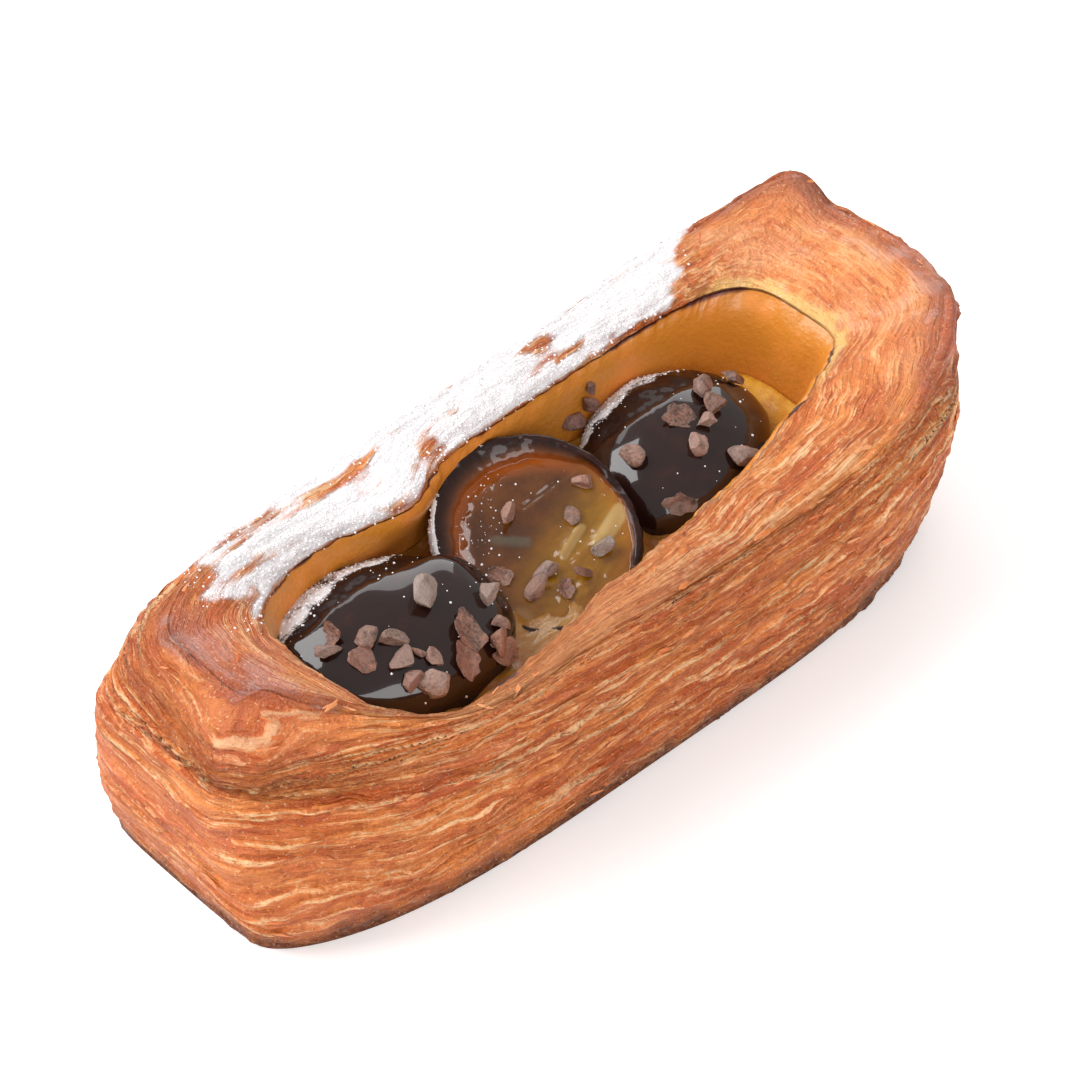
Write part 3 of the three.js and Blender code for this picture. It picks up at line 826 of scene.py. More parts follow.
def crust_colour(r, at, dough):
    """Deep to golden layers with pale edges and dark grooves, browned, washed and crisp places."""
    low, pale_rim, base = r.field("low"), r.field("pale_rim"), r.field("base")
    tone = at.band * 0.5 + at.strand * 0.35 + at.plate * 0.3 + at.flake * 0.25 - 0.2
    colour = r.mix(tone.step(0.32, 0.66) * (1 - low * 0.3), dough.deep, dough.golden)

    # Thin pale edges of the layers, partly the thin dough's own colour and partly painted highlight on the
    # crests, and painted light on the front rim.
    light = r.field("crest") * 0.4 + at.thread * 1.2 + at.strand * 0.6 + at.flake * 0.25 + at.fine * 0.5 - 1.2
    colour = r.mix(light.step(0.18, 0.5) * (0.9 - low * 0.3) * at.even, colour, dough.pale)
    # Painted light on the front rim, in the satin colour.
    colour = r.mix(pale_rim * ((at.thread + at.strand).step(0.7, 1.1) * 0.7 + 0.25), colour, dough.satin)

    # Painted shade in the grooves between the layers, round the torn plates and between the threads.
    hollow = (r.field("crest") + at.fine * 0.3 + pale_rim).step(0.4, 0.12) * 0.35
    plate_gap_shade = (1 - at.edge.step(0.0, 0.09)) * (at.band + at.fine * 0.4).step(0.82, 0.55) * 0.5
    thread_shade = (at.thread * 0.6 + at.fine * 0.4 + at.flake * 0.2).step(0.6, 0.42) * 0.5
    for crevice_shade in (hollow, plate_gap_shade, thread_shade):
        colour = r.mix(crevice_shade * at.even, colour, dough.crevice_shade)

    # Smooth washed tops of the left and the right end, with painted sheen in patches on the right end, then
    # browned and burnt places.
    colour = r.mix(r.field("calm") * (at.cloud.step(0.3, 0.6) * 0.4 + 0.5), colour, dough.baked)
    # Painted sheen on the right end.
    sheen = (at.cloud + at.strand * 0.4).step(0.5, 0.85) * 0.5 + 0.1
    colour = r.mix(r.field("satin") * sheen, colour, dough.satin)
    bake = r.field("bake")
    colour = r.mix((bake + at.cloud * 0.7 - 0.35).step(0.3, 1.05) * 0.75, colour, dough.baked)
    colour = r.mix((bake + at.cloud - 0.5).step(0.85, 1.35) * 0.6, colour, dough.burnt)

    # The grainy base, pale specks that are partly crumbs and partly painted glints, the pale lip, the inner
    # wall and the crisp edge.
    colour = r.mix(base * (at.fine * 0.8 + 0.55), colour, dough.crumb)
    colour = r.mix((base * at.fine).step(0.4, 0.62) * 0.7, colour, dough.burnt)
    colour = r.mix(at.glint_speck.step(0.62, 0.72) * 0.5, colour, dough.pale)
    colour = r.mix(r.field("lip") * 0.8, colour, dough.lip)
    wall = r.mix(at.cloud.step(0.4, 0.8) * 0.6, dough.wall, dough.golden)
    colour = r.mix(r.field("inside"), colour, wall)
    return r.mix((r.field("crisp") + at.cloud * 0.6 - 0.3).step(0.5, 0.95), colour, dough.burnt)


def crust_height(r, at):
    """Relief too fine for the mesh: threads and plates of the layers, crumbs and sugar."""
    low, base, inside = r.field("low"), r.field("base"), r.field("inside")
    fibres = at.thread * 0.9 + at.strand * 0.8 + at.plate * 0.35 + at.flake * 0.4
    crumbly = at.fine * (0.8 + low * 0.6 + base * 0.8) + at.grain * low * 0.3
    height = (crumbly + fibres * at.even) * (1 - inside) + inside * at.fine * 0.2
    dusted = r.field("sugar").step(0.3, 0.8)
    return height * (1 - dusted * 0.6) + dusted * at.grain * 0.5


def crust_material(dough, sugar):
    r = Recipe("crust")
    at = CrustPatterns(r)
    drift = r.field("sugar") + at.band * 0.35 + at.strand * 0.35 + at.clump * 0.5 + at.grain * 0.3 - 0.85
    snow = drift.step(0.15, 0.8)
    gloss = r.field("wash") * (1 - snow) * at.cloud.step(0.42, 0.56)
    inside = r.field("inside")
    return r.finish(
        Base_Color=r.mix(snow * 0.95, crust_colour(r, at, dough), sugar.white),
        Roughness=0.44 - gloss * 0.18 - inside * 0.1 + snow * 0.45,
        Coat_Weight=gloss * 0.8 + inside * 0.2,
        Coat_Roughness=0.16,
        Normal=r.bump(crust_height(r, at), 0.0013),
    )


class DANISH_OT_dough(bpy.types.Operator):
    """Bakes the laminated dough in the place of its solid"""

    bl_idname = "danish.dough"
    bl_label = "Dough"

    def execute(self, context):
        danish = context.scene.danish
        points, faces, fields = dough_mesh(danish.dough)
        material = crust_material(danish.dough, danish.sugar)
        add_piece("laminated_dough", points, faces, material, "pastry", fields)
        return {"FINISHED"}


# ---- Chestnuts -------------------------------------------------------------------------------

# The piece that stands in the place of each chestnut's solid and carries its nibs and sugar.
CARRIERS = {
    "chestnut_left": "glazed_left",
    "chestnut_middle": "cut_middle",
    "chestnut_right": "glazed_right",
}


class Half:
    """A chestnut half's own axes: along, across and up from the middle of its widest line."""

    def __init__(self, name):
        self.shape = CHESTNUTS[name]
        axis = (-math.sin(TOWARDS), math.cos(TOWARDS), 0)
        tilt = Matrix.Rotation(math.radians(self.shape.tilt), 3, axis)
        self.turned = np.array(tilt @ Matrix.Rotation(math.radians(self.shape.turn), 3, "Z"))
        self.centre = np.array(self.shape.centre) - np.array([*CENTRE, 0])

    def place(self, local):
        return local @ self.turned.T + self.centre

    def rows(self, share, height, angle):
        """Points of rows from their share of the widest line and their height."""
        length, width = self.shape.half
        swell = 1 + CHESTNUT_UNEVEN * np.sin(2 * angle + length) * share
        along = length * share * swell * np.cos(angle)
        across = width * share * swell * np.sin(angle)
        return np.stack([along, across, height * np.ones_like(angle)], axis=-1)


def bump(x, y, at, reach):
    """1 at a place and 0 far from it."""
    return np.exp(-(((x - at[0]) ** 2 + (y - at[1]) ** 2) / reach ** 2))


def stroke(x, y, start, end, width):
    """1 on a line between two places and 0 beside it."""
    (ax, ay), (bx, by) = start, end
    span = (bx - ax) ** 2 + (by - ay) ** 2
    t = np.clip(((x - ax) * (bx - ax) + (y - ay) * (by - ay)) / span, 0, 1)
    return np.exp(-(((x - ax - t * (bx - ax)) ** 2 + (y - ay - t * (by - ay)) ** 2) / width ** 2))


NUT_COLUMNS = 180
NUT_STEP = 2.4              # degrees between rows
FILM = 0.5                  # thickness of the glaze in mm

# The glaze leaves the back of each half bare: the way it faces, as shares along and across, and
# how far out it starts. The powdered sugar lies there too.
Bare = namedtuple("Bare", "facing start dust dust_from")
BARE = {
    "chestnut_left": Bare((-0.2, 0.98), 0.32, (-0.45, 0.89), 0.44),
    "chestnut_right": Bare((0.41, 0.91), 0.3, (0.2, 0.98), 0.6),
}
# A bulge of a glazed half: its place along and across, its reach and its height in mm.
BULGES = {"chestnut_left": ((15.5, 6.5), 4.5, 0.8)}
STRAY_DUST = 0.02           # share of the grains that lie on the rest of a glazed half


def glazed_mesh(name, settings):
    """Points, faces and fields of a half that lies glazed back up."""
    half = Half(name)
    shape, bare = half.shape, BARE[name]
    turn = np.arange(NUT_COLUMNS) / NUT_COLUMNS * 2 * math.pi
    tilt = np.radians(np.arange(-90 + NUT_STEP, 90, NUT_STEP))[:, None]
    height = np.sin(tilt) * np.where(tilt > 0, shape.rise, shape.drop)
    local = half.rows(np.cos(tilt), height, turn[None, :] * np.ones_like(tilt))
    x, y, z = local[..., 0], local[..., 1], local[..., 2]
    u, v = x / shape.half[0], y / shape.half[1]
    seed = len(name) * 7
    edge = 0.12 * fractal(x / 6, y / 6, z / 6, seed, 3)
    towards_back = u * bare.facing[0] + v * bare.facing[1] + edge
    film = 1 - smoothstep(bare.start - 0.04, bare.start + 0.04, towards_back)
    film = np.where(z > -2, film, 0)
    wavy = 0.35 * fractal(x / 8, y / 8, z / 8, seed + 1, 2)
    leather = 0.5 * fractal(x / 3, y / 3, z / 3, seed + 2, 3)
    leather = leather - 0.25 * np.abs(noise(x / 1.4, y / 1.4, z / 1.4, seed + 5))
    relief = wavy + film * FILM + (1 - film) * leather * settings.uneven / MM * 2
    if name in BULGES:
        at, reach, rise = BULGES[name]
        relief = relief + rise * bump(x, y, at, reach) * film
    points = half.place(local + grid_normals(local) * relief[..., None])
    dust = smoothstep(bare.dust_from, bare.dust_from + 0.14, u * bare.dust[0] + v * bare.dust[1] + edge)
    dust = dust * (z > -3) * (0.7 + 0.5 * fractal(x / 3, y / 3, z / 3, seed + 3, 2))
    dust = np.clip(dust, 0, 1)
    poles = half.place(np.array([[0, 0, -shape.drop], [0, 0, shape.rise + FILM]]))
    fields = {
        "film": np.append(film.ravel(), [0, 1]),
        "dust": np.append(dust.ravel(), [0, 0]),
        "sugar": np.append((dust + STRAY_DUST * (z > 2)).ravel(), [0, 0]),
    }
    return np.concatenate([points.reshape(-1, 3), poles]), loft_faces(len(tilt), NUT_COLUMNS), fields


def glaze_material(chestnut, sugar):
    r = Recipe("candied_skin")
    film, dust = r.field("film"), r.field("dust")
    cloud = r.noise(170, 4, 0.6)
    grain = r.noise(1700, 3, 0.6)
    colour = r.mix(cloud.step(0.52, 0.8) * 0.6, chestnut.glaze, chestnut.glaze_thin)
    snow = (dust + grain * 0.9 + r.noise(420, 3, 0.6) * 0.6 - 0.95).step(0.1, 0.45)
    colour = r.mix(snow * 0.85, colour, sugar.white)
    height = r.noise(700, 3, 0.6) * (1 - film) + snow * grain
    return r.finish(
        Base_Color=colour,
        Roughness=0.34 - film * 0.16 + snow * 0.5,
        Specular_IOR_Level=0.08,
        Coat_Weight=(film * 0.75 + 0.2) * (1 - snow),
        Coat_Roughness=0.04,
        Normal=r.bump(height, 0.0004, 0.6),
    )


CUT_COLUMNS = 240
RIM_ROWS = 22
FLESH_ROWS = 55
# The rim's section from outside to inside: place along it, share of the half's width and share of
# the crest's height. It goes on down to the flesh, past the place where it has fallen so far.
RIM_SECTION = (
    (0.0, 1.0, 0.0), (0.2, 0.995, 0.45), (0.36, 0.98, 0.85), (0.5, 0.955, 1.0), (0.64, 0.925, 0.92),
)
RIM_FALL = (0.85, 0.55)
FAR_SIDE = 115              # degrees round the half where its skin is widest and its rim highest
RIM_GAP = 2                 # degrees round the half where the skin opens beside the right half
RIM_GAP_WIDTH = 8
SUGARED_SIDE = 150          # degrees round the half where the sugar lies

# Marks in the flesh, in mm along and across: lines from one place to another, and round places
# with their reach.
ALMOND = ((8.2, -6.4), (14.0, -3.6))
STRIP = ((1.6, -4.8), (6.6, -2.4))
STRIP_SHADOW = ((2.4, -6.2), (7.6, -3.8))
# The pale line on the raised strip is a painted reflection.
STRIP_REFLECTION = ((1.9, -5.2), (7.0, -2.6))
CRACK = ((1.4, 5.6), (11.2, 6.7))
SMEAR = ((-5.8, 2.8), (-1.8, -0.1))
LUMPS = (((-3, -12), 4.5), ((3.5, -11), 3.5), ((-9.5, -11), 3.5))
CRUMBS = ((-10, -11), 2.6)


def flesh_relief(x, y):
    """How the flesh stands above or below its even level, in mm."""
    relief = 0.45 * fractal(x / 7, y / 7, 1, 71, 2) + 0.14 * fractal(x / 1.8, y / 1.8, 2, 72, 2)
    relief = relief + 0.75 * stroke(x, y, *ALMOND, 1.5) - 0.35 * stroke(x, y, *ALMOND, 3.0)
    relief = relief + 0.5 * stroke(x, y, *STRIP, 0.8) - 0.3 * stroke(x, y, *STRIP_SHADOW, 0.8)
    relief = relief - 0.35 * stroke(x, y, *CRACK, 0.5)
    relief = relief + 0.3 * stroke(x, y, *SMEAR, 1.0)
    lumpy = np.maximum.reduce([bump(x, y, at, reach) for at, reach in LUMPS])
    return relief + lumpy * (0.6 * fractal(x / 1.7, y / 1.7, 4, 74, 2) + 0.1)


class CutGrid:
    """The cut half as a smooth grid: rows of the skin from below, of its rim and of the flesh."""

    def __init__(self, half):
        shape = half.shape
        turn = np.arange(CUT_COLUMNS) / CUT_COLUMNS * 2 * math.pi
        self.degrees = np.degrees(turn)
        self.far_side = smoothstep(-0.2, 0.8, np.cos(turn - math.radians(FAR_SIDE)))
        below = np.radians(np.arange(-90 + NUT_STEP, 0, NUT_STEP))[:, None]
        self.counts = (len(below), RIM_ROWS, FLESH_ROWS)
        self.across_rim = np.linspace(0, 1, RIM_ROWS)[:, None]
        share_in = np.linspace(1, 0, FLESH_ROWS + 1, endpoint=False)[1:, None]
        self.settle = smoothstep(1, 0.75, share_in)

        c, s = np.cos(turn), np.sin(turn)
        inner = 1 - SKIN_WIDTH * (0.62 + 0.75 * self.far_side) - 0.02 * noise(c * 6, s * 6, 5, 75)
        opening = np.exp(-((self.degrees_from(RIM_GAP) / RIM_GAP_WIDTH) ** 2))
        crest = shape.rise + 0.5 * noise(c * 4, s * 4, 6, 76) + 0.5 * self.far_side - 1.6 * opening
        depth = FLESH_DEPTH + 0.9 * self.far_side
        rim_share, rim_height = self.rim_section(inner, crest, depth, shape.rise)
        flesh_height = shape.rise - lerp(depth[None, :], FLESH_DEPTH, self.settle)
        self.share = self.stack(np.cos(below), rim_share, inner * share_in)
        height = self.stack(shape.drop * np.sin(below), rim_height, flesh_height)
        self.local = half.rows(self.share, height, turn[None, :] * np.ones_like(self.share))

    def degrees_from(self, at):
        """Degrees from each column to a direction, from -180 to 180."""
        return (self.degrees - at + 180) % 360 - 180

    def rim_section(self, inner, crest, depth, rise):
        """Shares of the width and heights of the rim's rows."""
        along, shares, heights = zip(*RIM_SECTION)
        fall_at, fall = RIM_FALL
        at, knots = self.across_rim[:, 0], np.array([*along, fall_at, 1.0])
        share = [np.interp(at, knots, [*shares, edge + 0.012, edge]) for edge in inner]
        height = [
            np.interp(at, knots, [*(part * top for part in heights), rise - fall * deep, rise - deep])
            for top, deep in zip(crest, depth)
        ]
        return np.stack(share, axis=1), np.stack(height, axis=1)

    def stack(self, skin_part, rim_part, flesh_part):
        """One grid of values for the skin's, the rim's and the flesh's rows."""
        parts = zip((skin_part, rim_part, flesh_part), self.counts)
        return np.concatenate([part * np.ones((rows, CUT_COLUMNS)) for part, rows in parts])


def cut_fields(grid):
    """Where the skin, the colours of the flesh with its painted glow and painted reflection, and the sugar
    are on the cut half.
    """
    x, y, z = grid.local[..., 0], grid.local[..., 1], grid.local[..., 2]
    is_flesh = grid.stack(0, 0, 1)
    almond = smoothstep(0.3, 0.55, stroke(x, y, *ALMOND, 1.5)) * is_flesh
    # A painted reflection along the raised strip, laid into the pale field.
    strip_reflection = smoothstep(0.35, 0.7, stroke(x, y, *STRIP_REFLECTION, 0.9)) * is_flesh
    crumbs = 0.4 * smoothstep(0.3, 0.8, bump(x, y, *CRUMBS)) * is_flesh
    # Painted glow of light through the flesh near the rim.
    glow = grid.stack(0, smoothstep(0.7, 1, grid.across_rim), 1 - grid.settle)
    dust = 1.3 * grid.far_side * smoothstep(0.2, 0.8, np.cos(np.radians(grid.degrees - SUGARED_SIDE)))
    patchy = np.clip(0.5 + 1.4 * fractal(x / 3, y / 3, z / 3, 79, 3), 0, 1)
    on_flesh, on_skin = 0.1 * smoothstep(-2, -12, x - y), patchy * smoothstep(0.92, 0.965, grid.share)
    dust = dust * np.where(is_flesh > 0, on_flesh, on_skin)

    def full(values, below=0.0, above=0.0):
        return np.append(values.ravel(), [below, above])

    return {
        "skin": full(grid.stack(1, 1 - smoothstep(0.66, 0.9, grid.across_rim), 0), 1.0),
        "glow": full(glow * (0.35 + 0.65 * grid.far_side)),
        "olive": full(smoothstep(3, -8, y - 0.45 * x) * is_flesh * smoothstep(-14, -3, x), 0, 0.3),
        "pale": full(np.maximum(almond, np.maximum(0.8 * strip_reflection, crumbs))),
        "smear": full(np.clip(1.5 * stroke(x, y, *SMEAR, 1.0) - 0.25, 0, 1) * is_flesh),
        "dust": full(np.clip(dust, 0, 1)),
        "sugar": full(np.clip(dust + 0.012 * is_flesh, 0, 1)),
    }


def cut_mesh(name, settings):
    """Points, faces and fields of the half that lies cut face up."""
    half = Half(name)
    shape, grid = half.shape, CutGrid(half)
    x, y, z = grid.local[..., 0], grid.local[..., 1], grid.local[..., 2]
    rough = 0.35 * fractal(x / 3, y / 3, z / 3, 77, 3) + 0.16 * noise(x / 0.8, y / 0.8, z / 0.8, 78)
    relief = grid.stack(1, 1, 0) * rough * settings.uneven / MM * 2
    points = grid.local + grid_normals(grid.local) * relief[..., None]
    points[..., 2] = points[..., 2] + flesh_relief(x, y) * grid.stack(0, 0, grid.settle)
    middle_height = shape.rise - FLESH_DEPTH + flesh_relief(0.0, 0.0)
    poles = np.array([[0, 0, -shape.drop], [0, 0, middle_height]])
    points = half.place(np.concatenate([points.reshape(-1, 3), poles]))
    return points, loft_faces(sum(grid.counts), CUT_COLUMNS), cut_fields(grid)


def cut_material(chestnut, sugar):
    r = Recipe("cut_chestnut")
    peel, glow, olive = r.field("skin"), r.field("glow"), r.field("olive")
    pale, smear, dust = r.field("pale"), r.field("smear"), r.field("dust")
    cloud = r.noise(130, 4, 0.6)
    fibre = r.noise(1.0, 3, 0.6, at=r.stretch(r.place, (260, 620, 260)))
    grain = r.noise(1700, 3, 0.6)
    flesh = r.mix(cloud.step(0.35, 0.65), chestnut.flesh_dark, chestnut.flesh)
    flesh = r.mix(olive * (fibre * 0.9 + 0.25), flesh, chestnut.flesh_olive)
    # Painted glow under the rim.
    flesh = r.mix(glow * 0.6, flesh, chestnut.glow)
    # Pale pieces and crumbs, and the painted reflection along the strip.
    flesh = r.mix(pale * 0.6, flesh, chestnut.pale)
    flesh = r.mix(smear * 0.55, flesh, chestnut.smear)
    bark = r.mix((fibre + cloud - 0.5).step(0.3, 0.75), chestnut.glaze, chestnut.rim)
    colour = r.mix(peel, flesh, bark)
    snow = (dust + grain * 0.9 + r.noise(420, 3, 0.6) * 0.7 - 0.95).step(0.15, 0.32)
    colour = r.mix(snow * 0.9, colour, sugar.white)
    height = r.noise(420, 3, 0.55) + peel * r.noise(1100, 3, 0.6) + snow * grain
    return r.finish(
        Base_Color=colour,
        Roughness=0.3 + snow * 0.5 + smear * 0.3,
        Specular_IOR_Level=0.1,
        Coat_Weight=0.85 * (1 - snow) * (1 - smear * 0.7) * (1 - peel * 0.55),
        Coat_Roughness=0.06,
        Subsurface_Weight=0.25,
        Subsurface_Radius=(0.005, 0.002, 0.0006),
        Subsurface_Scale=1.0,
        Normal=r.bump(height, 0.0003, 0.5),
    )


class DANISH_OT_glazed_chestnuts(bpy.types.Operator):
    """Makes the left and right candied chestnuts in the place of their solids"""

    bl_idname = "danish.glazed_chestnuts"
    bl_label = "Glazed chestnuts"

    def execute(self, context):
        danish = context.scene.danish
        material = glaze_material(danish.chestnut, danish.sugar)
        for name in BARE:
            points, faces, fields = glazed_mesh(name, danish.chestnut)
            add_piece(CARRIERS[name], points, faces, material, name, fields)
        return {"FINISHED"}


class DANISH_OT_cut_chestnut(bpy.types.Operator):
    """Makes the middle chestnut, cut face up, in the place of its solid"""

    bl_idname = "danish.cut_chestnut"
    bl_label = "Cut chestnut"

    def execute(self, context):
        danish = context.scene.danish
        name = "chestnut_middle"
        points, faces, fields = cut_mesh(name, danish.chestnut)
        material = cut_material(danish.chestnut, danish.sugar)
        add_piece(CARRIERS[name], points, faces, material, name, fields)
        return {"FINISHED"}


# ---- Custard ---------------------------------------------------------------------------------

CUSTARD_COLUMNS = 200
CUSTARD_SIDE_ROWS = 5
CUSTARD_TOP_ROWS = 59
CUSTARD_CLIMB = 0.6         # mm by which the custard stands up at the dough
SYRUP_END = (26, 18)        # mm from the middle between which the syrup starts


def custard_mesh(settings):
    """Points, faces and fields of the custard, from its floor up the sides and over the top."""
    angles, _, _ = even_angles(CUSTARD_COLUMNS)
    sides = np.linspace(FLOOR, WALL, CUSTARD_SIDE_ROWS)[:, None] * np.ones(CUSTARD_COLUMNS)
    wall = skin(sides, angles, GAP)
    wall[0, :, 2] += GAP
    wall[-1, :, 2] = CUSTARD_LEVEL
    share = np.linspace(1, 0, CUSTARD_TOP_ROWS + 1, endpoint=False)[1:, None, None]
    middle = -np.array([*CENTRE, 0])
    top = middle + (wall[-1] - middle) * share
    x, y = top[..., 0] + CENTRE[0], top[..., 1] + CENTRE[1]
    lumps = np.sin(0.45 * x + 1) * np.cos(0.38 * y) + 0.5 * np.sin(0.9 * x - 0.7 * y)
    fine = fractal(x / 3.4, y / 3.4, 1, 81, 3) + 0.4 * np.abs(noise(x / 1.2, y / 1.2, 2, 82))
    climb = CUSTARD_CLIMB * smoothstep(0.86, 1, share[..., 0])
    top[..., 2] = CUSTARD_LEVEL + CUSTARD_LUMP * lumps + settings.lump / MM * fine + climb
    points = np.concatenate([wall, top])
    syrup = np.append(smoothstep(*SYRUP_END, points[..., 0]).ravel(), [1, 1])
    below = middle + np.array([0, 0, OUTLINES[FLOOR].height[0] + GAP])
    above = middle + np.array([0, 0, CUSTARD_LEVEL])
    faces = loft_faces(len(points), CUSTARD_COLUMNS)
    return np.concatenate([points.reshape(-1, 3), [below, above]]), faces, {"syrup": syrup}


def custard_material(custard):
    r = Recipe("custard")
    cloud = r.noise(150, 4, 0.6)
    fine = r.noise(620, 3, 0.6)
    colour = r.mix((cloud + fine * 0.5 - 0.25).step(0.3, 0.7), custard.shaded, custard.bright)
    colour = r.mix(r.field("syrup") * 0.8, colour, custard.syrup)
    return r.finish(
        Base_Color=colour,
        Roughness=0.42,
        Coat_Weight=cloud.step(0.3, 0.6) * 0.8,
        Coat_Roughness=0.12,
        Subsurface_Weight=0.25,
        Subsurface_Radius=(0.004, 0.002, 0.0006),
        Subsurface_Scale=1.0,
        Normal=r.bump(fine, 0.0006, 0.7),
    )


class DANISH_OT_custard(bpy.types.Operator):
    """Fills the hollow with custard in the place of its solid"""

    bl_idname = "danish.custard"
    bl_label = "Custard"

    def execute(self, context):
        custard = context.scene.danish.custard
        points, faces, fields = custard_mesh(custard)
        add_piece("baked_custard", points, faces, custard_material(custard), "custard", fields)
        return {"FINISHED"}


# ---- Cacao nibs ------------------------------------------------------------------------------

# Each nib: place along and across its chestnut in mm, longest side in mm, form, and how grey and
# pale it is, from 0 to 1.
Nib = namedtuple("Nib", "along across size form grey pale")
NIBS = {
    "chestnut_left": (
        Nib(6.6, -1.8, 6.3, "chip", 1, 0.5), Nib(17, -2.6, 4.6, "chip", 0.6, 0.5),
        Nib(-8.8, 0, 4.3, "shell", 0.1, 0.3), Nib(-10, -2.5, 3.6, "chip", 0.5, 0.4),
        Nib(-4.3, -3.4, 4.4, "chip", 0.2, 0.45),
        Nib(-6.4, -6.2, 4.6, "shell", 0.1, 0.35), Nib(-1.1, -5.4, 4.4, "chip", 0.4, 0.6),
        Nib(-1.1, -9.1, 4.2, "chip", 0.5, 0.35), Nib(1.8, -9.2, 3.5, "sliver", 0.2, 0.5),
        Nib(3.3, -10.4, 3.6, "chip", 0.4, 0.5), Nib(-1.4, -12.4, 3.8, "chip", 0.3, 0.3),
        Nib(2.3, -13.3, 4.6, "round", 0.6, 0.7), Nib(10.8, -8.6, 6, "shell", 0, 0.55),
        Nib(8.4, -12.2, 5.5, "shell", 0.05, 0.35), Nib(16.8, -7.5, 4.2, "chip", 0.3, 0.5),
        Nib(14.8, -10.5, 5, "chip", 0.1, 0.55), Nib(15.4, -11.2, 5.2, "shell", 0.3, 0.7),
    ),
    "chestnut_middle": (
        Nib(-8.9, -2.8, 4, "shell", 0.2, 0.6), Nib(-1.8, 5.7, 4.2, "chip", 0.2, 0.6),
        Nib(11.8, 3.8, 3.8, "chip", 0.1, 0.75), Nib(7, 0, 3.4, "chip", 0.2, 0.5),
        Nib(7.7, -7.3, 3.8, "chip", 1, 0.1), Nib(-2.3, -5.9, 3.8, "chip", 0.5, 0.4),
        Nib(-5, -8.1, 3.8, "round", 0.4, 0.5), Nib(2.4, -9.8, 5, "sliver", 0.2, 0.5),
        Nib(-1.2, -10.4, 3.4, "shell", 0.2, 0.5),
    ),
    "chestnut_right": (
        Nib(7.7, 0.8, 4.2, "round", 0.4, 0.15), Nib(14.8, -0.1, 4.8, "chip", 0.3, 0.1),
        Nib(5.1, -3.2, 4.6, "chip", 0.1, 0.6), Nib(-0.3, -0.4, 5.2, "shell", 0, 0.6),
        Nib(1.7, -4, 3.8, "chip", 0.4, 0.6), Nib(-2.8, -5.6, 4, "round", 0.4, 0.5),
        Nib(1.2, -11.5, 4.6, "round", 0.4, 0.5), Nib(-10.1, 2, 4.2, "round", 0.2, 0.7),
        Nib(-11.9, -8.6, 4.6, "shell", 0.4, 0.1), Nib(6.8, -12.8, 3.2, "shell", 0.4, 0.5),
    ),
}
# Nibs that stick to the back wall, by the right half: place along the danish, height and size.
WALL_NIBS = ((22.7, 35.4, 3.0), (22.3, 32.4, 4.0), (18.9, 29.5, 4.4))
NIB_SEED = 7
CHIP_CUTS = 14              # flat faces that are broken off a ball to make a chip
NIB_ROUNDS = 3              # times that a nib's ball is divided
NIB_LEAN = 0.35             # how far nibs lean from their ground
CHIP_LIFT = 0.24            # how far a chip and a shell stand up, as a share of their size
SHELL_LIFT = 0.12
ABOVE_ALL = 30.0            # mm above a half from which its surface is looked for


def ball(divisions):
    """Points and faces of a sphere made of triangles, one unit across."""
    shape = bmesh.new()
    bmesh.ops.create_icosphere(shape, subdivisions=divisions, radius=0.5)
    points = np.array([vertex.co[:] for vertex in shape.verts])
    faces = [[vertex.index for vertex in face.verts] for face in shape.faces]
    shape.free()
    return points, faces


def chip(points, random, form):
    """Breaks a ball into an angular chip."""
    for _ in range(CHIP_CUTS):
        cut = unit(random.normal(size=3))
        depth = random.uniform(0.17, 0.38) if form != "round" else random.uniform(0.3, 0.44)
        points = points - np.maximum(points @ cut - depth, 0)[:, None] * cut
    x, y, z = points.T
    points = points * (1.15 + 0.1 * noise(x * 5, y * 5, z * 5, int(random.integers(99))))[:, None]
    if form == "sliver":
        return points * [1.15, 0.36, 0.34]
    return points * [1.2, random.uniform(0.75, 1.0), random.uniform(0.6, 0.8)]


def shell(points, random):
    """Presses a ball into a thin curved piece of husk with a torn outline."""
    x, y, z = points.T
    turn = np.arctan2(y, x)
    torn = 1 + 0.22 * noise(np.cos(turn) * 2.2, np.sin(turn) * 2.2, 1, int(random.integers(99)))
    torn = torn + 0.1 * noise(np.cos(turn) * 6, np.sin(turn) * 6, 2, int(random.integers(99)))
    x, y = x * torn * 1.15, y * torn * 0.8
    curl = random.uniform(0.9, 1.5)
    thin = z * 0.16 + 0.03 * noise(x * 9, y * 9, 3, 5)
    return np.stack([x, y, thin + curl * (y * y) - 0.12 + 0.3 * x * x], axis=-1)


def facing_frame(normal, turn):
    """Axes with the third along a normal, turned about it."""
    side = unit(np.cross(normal, [0.31, 0.95, 0.05]))
    other = np.cross(normal, side)
    c, s = math.cos(turn), math.sin(turn)
    return np.stack([c * side + s * other, c * other - s * side, normal])


def surface_tree(name):
    """For finding the top of a piece: its triangles in mm."""
    mesh = bpy.data.objects[name].data
    points = (vertex_vectors(mesh, "co") / MM).tolist()
    return BVHTree.FromPolygons(points, [list(face.vertices) for face in mesh.polygons])


def nib_places():
    """The surface point, its normal and the nib, for every nib."""
    for name, nibs in NIBS.items():
        half, tree = Half(name), surface_tree(CARRIERS[name])
        down = -half.turned[:, 2]
        for nib in nibs:
            start = half.place(np.array([nib.along, nib.across, ABOVE_ALL]))
            hit, normal, _, _ = tree.ray_cast(Vector(start), Vector(down))
            yield np.array(hit), np.array(normal), nib
    tree = surface_tree("laminated_dough")
    for x, z, size in WALL_NIBS:
        in_front = Vector((x - CENTRE[0], 4, z))
        hit, normal, _, _ = tree.ray_cast(in_front, Vector((0, 1, 0)))
        yield np.array(hit), np.array(normal), Nib(0, 0, size, "chip", 0.2, 0)


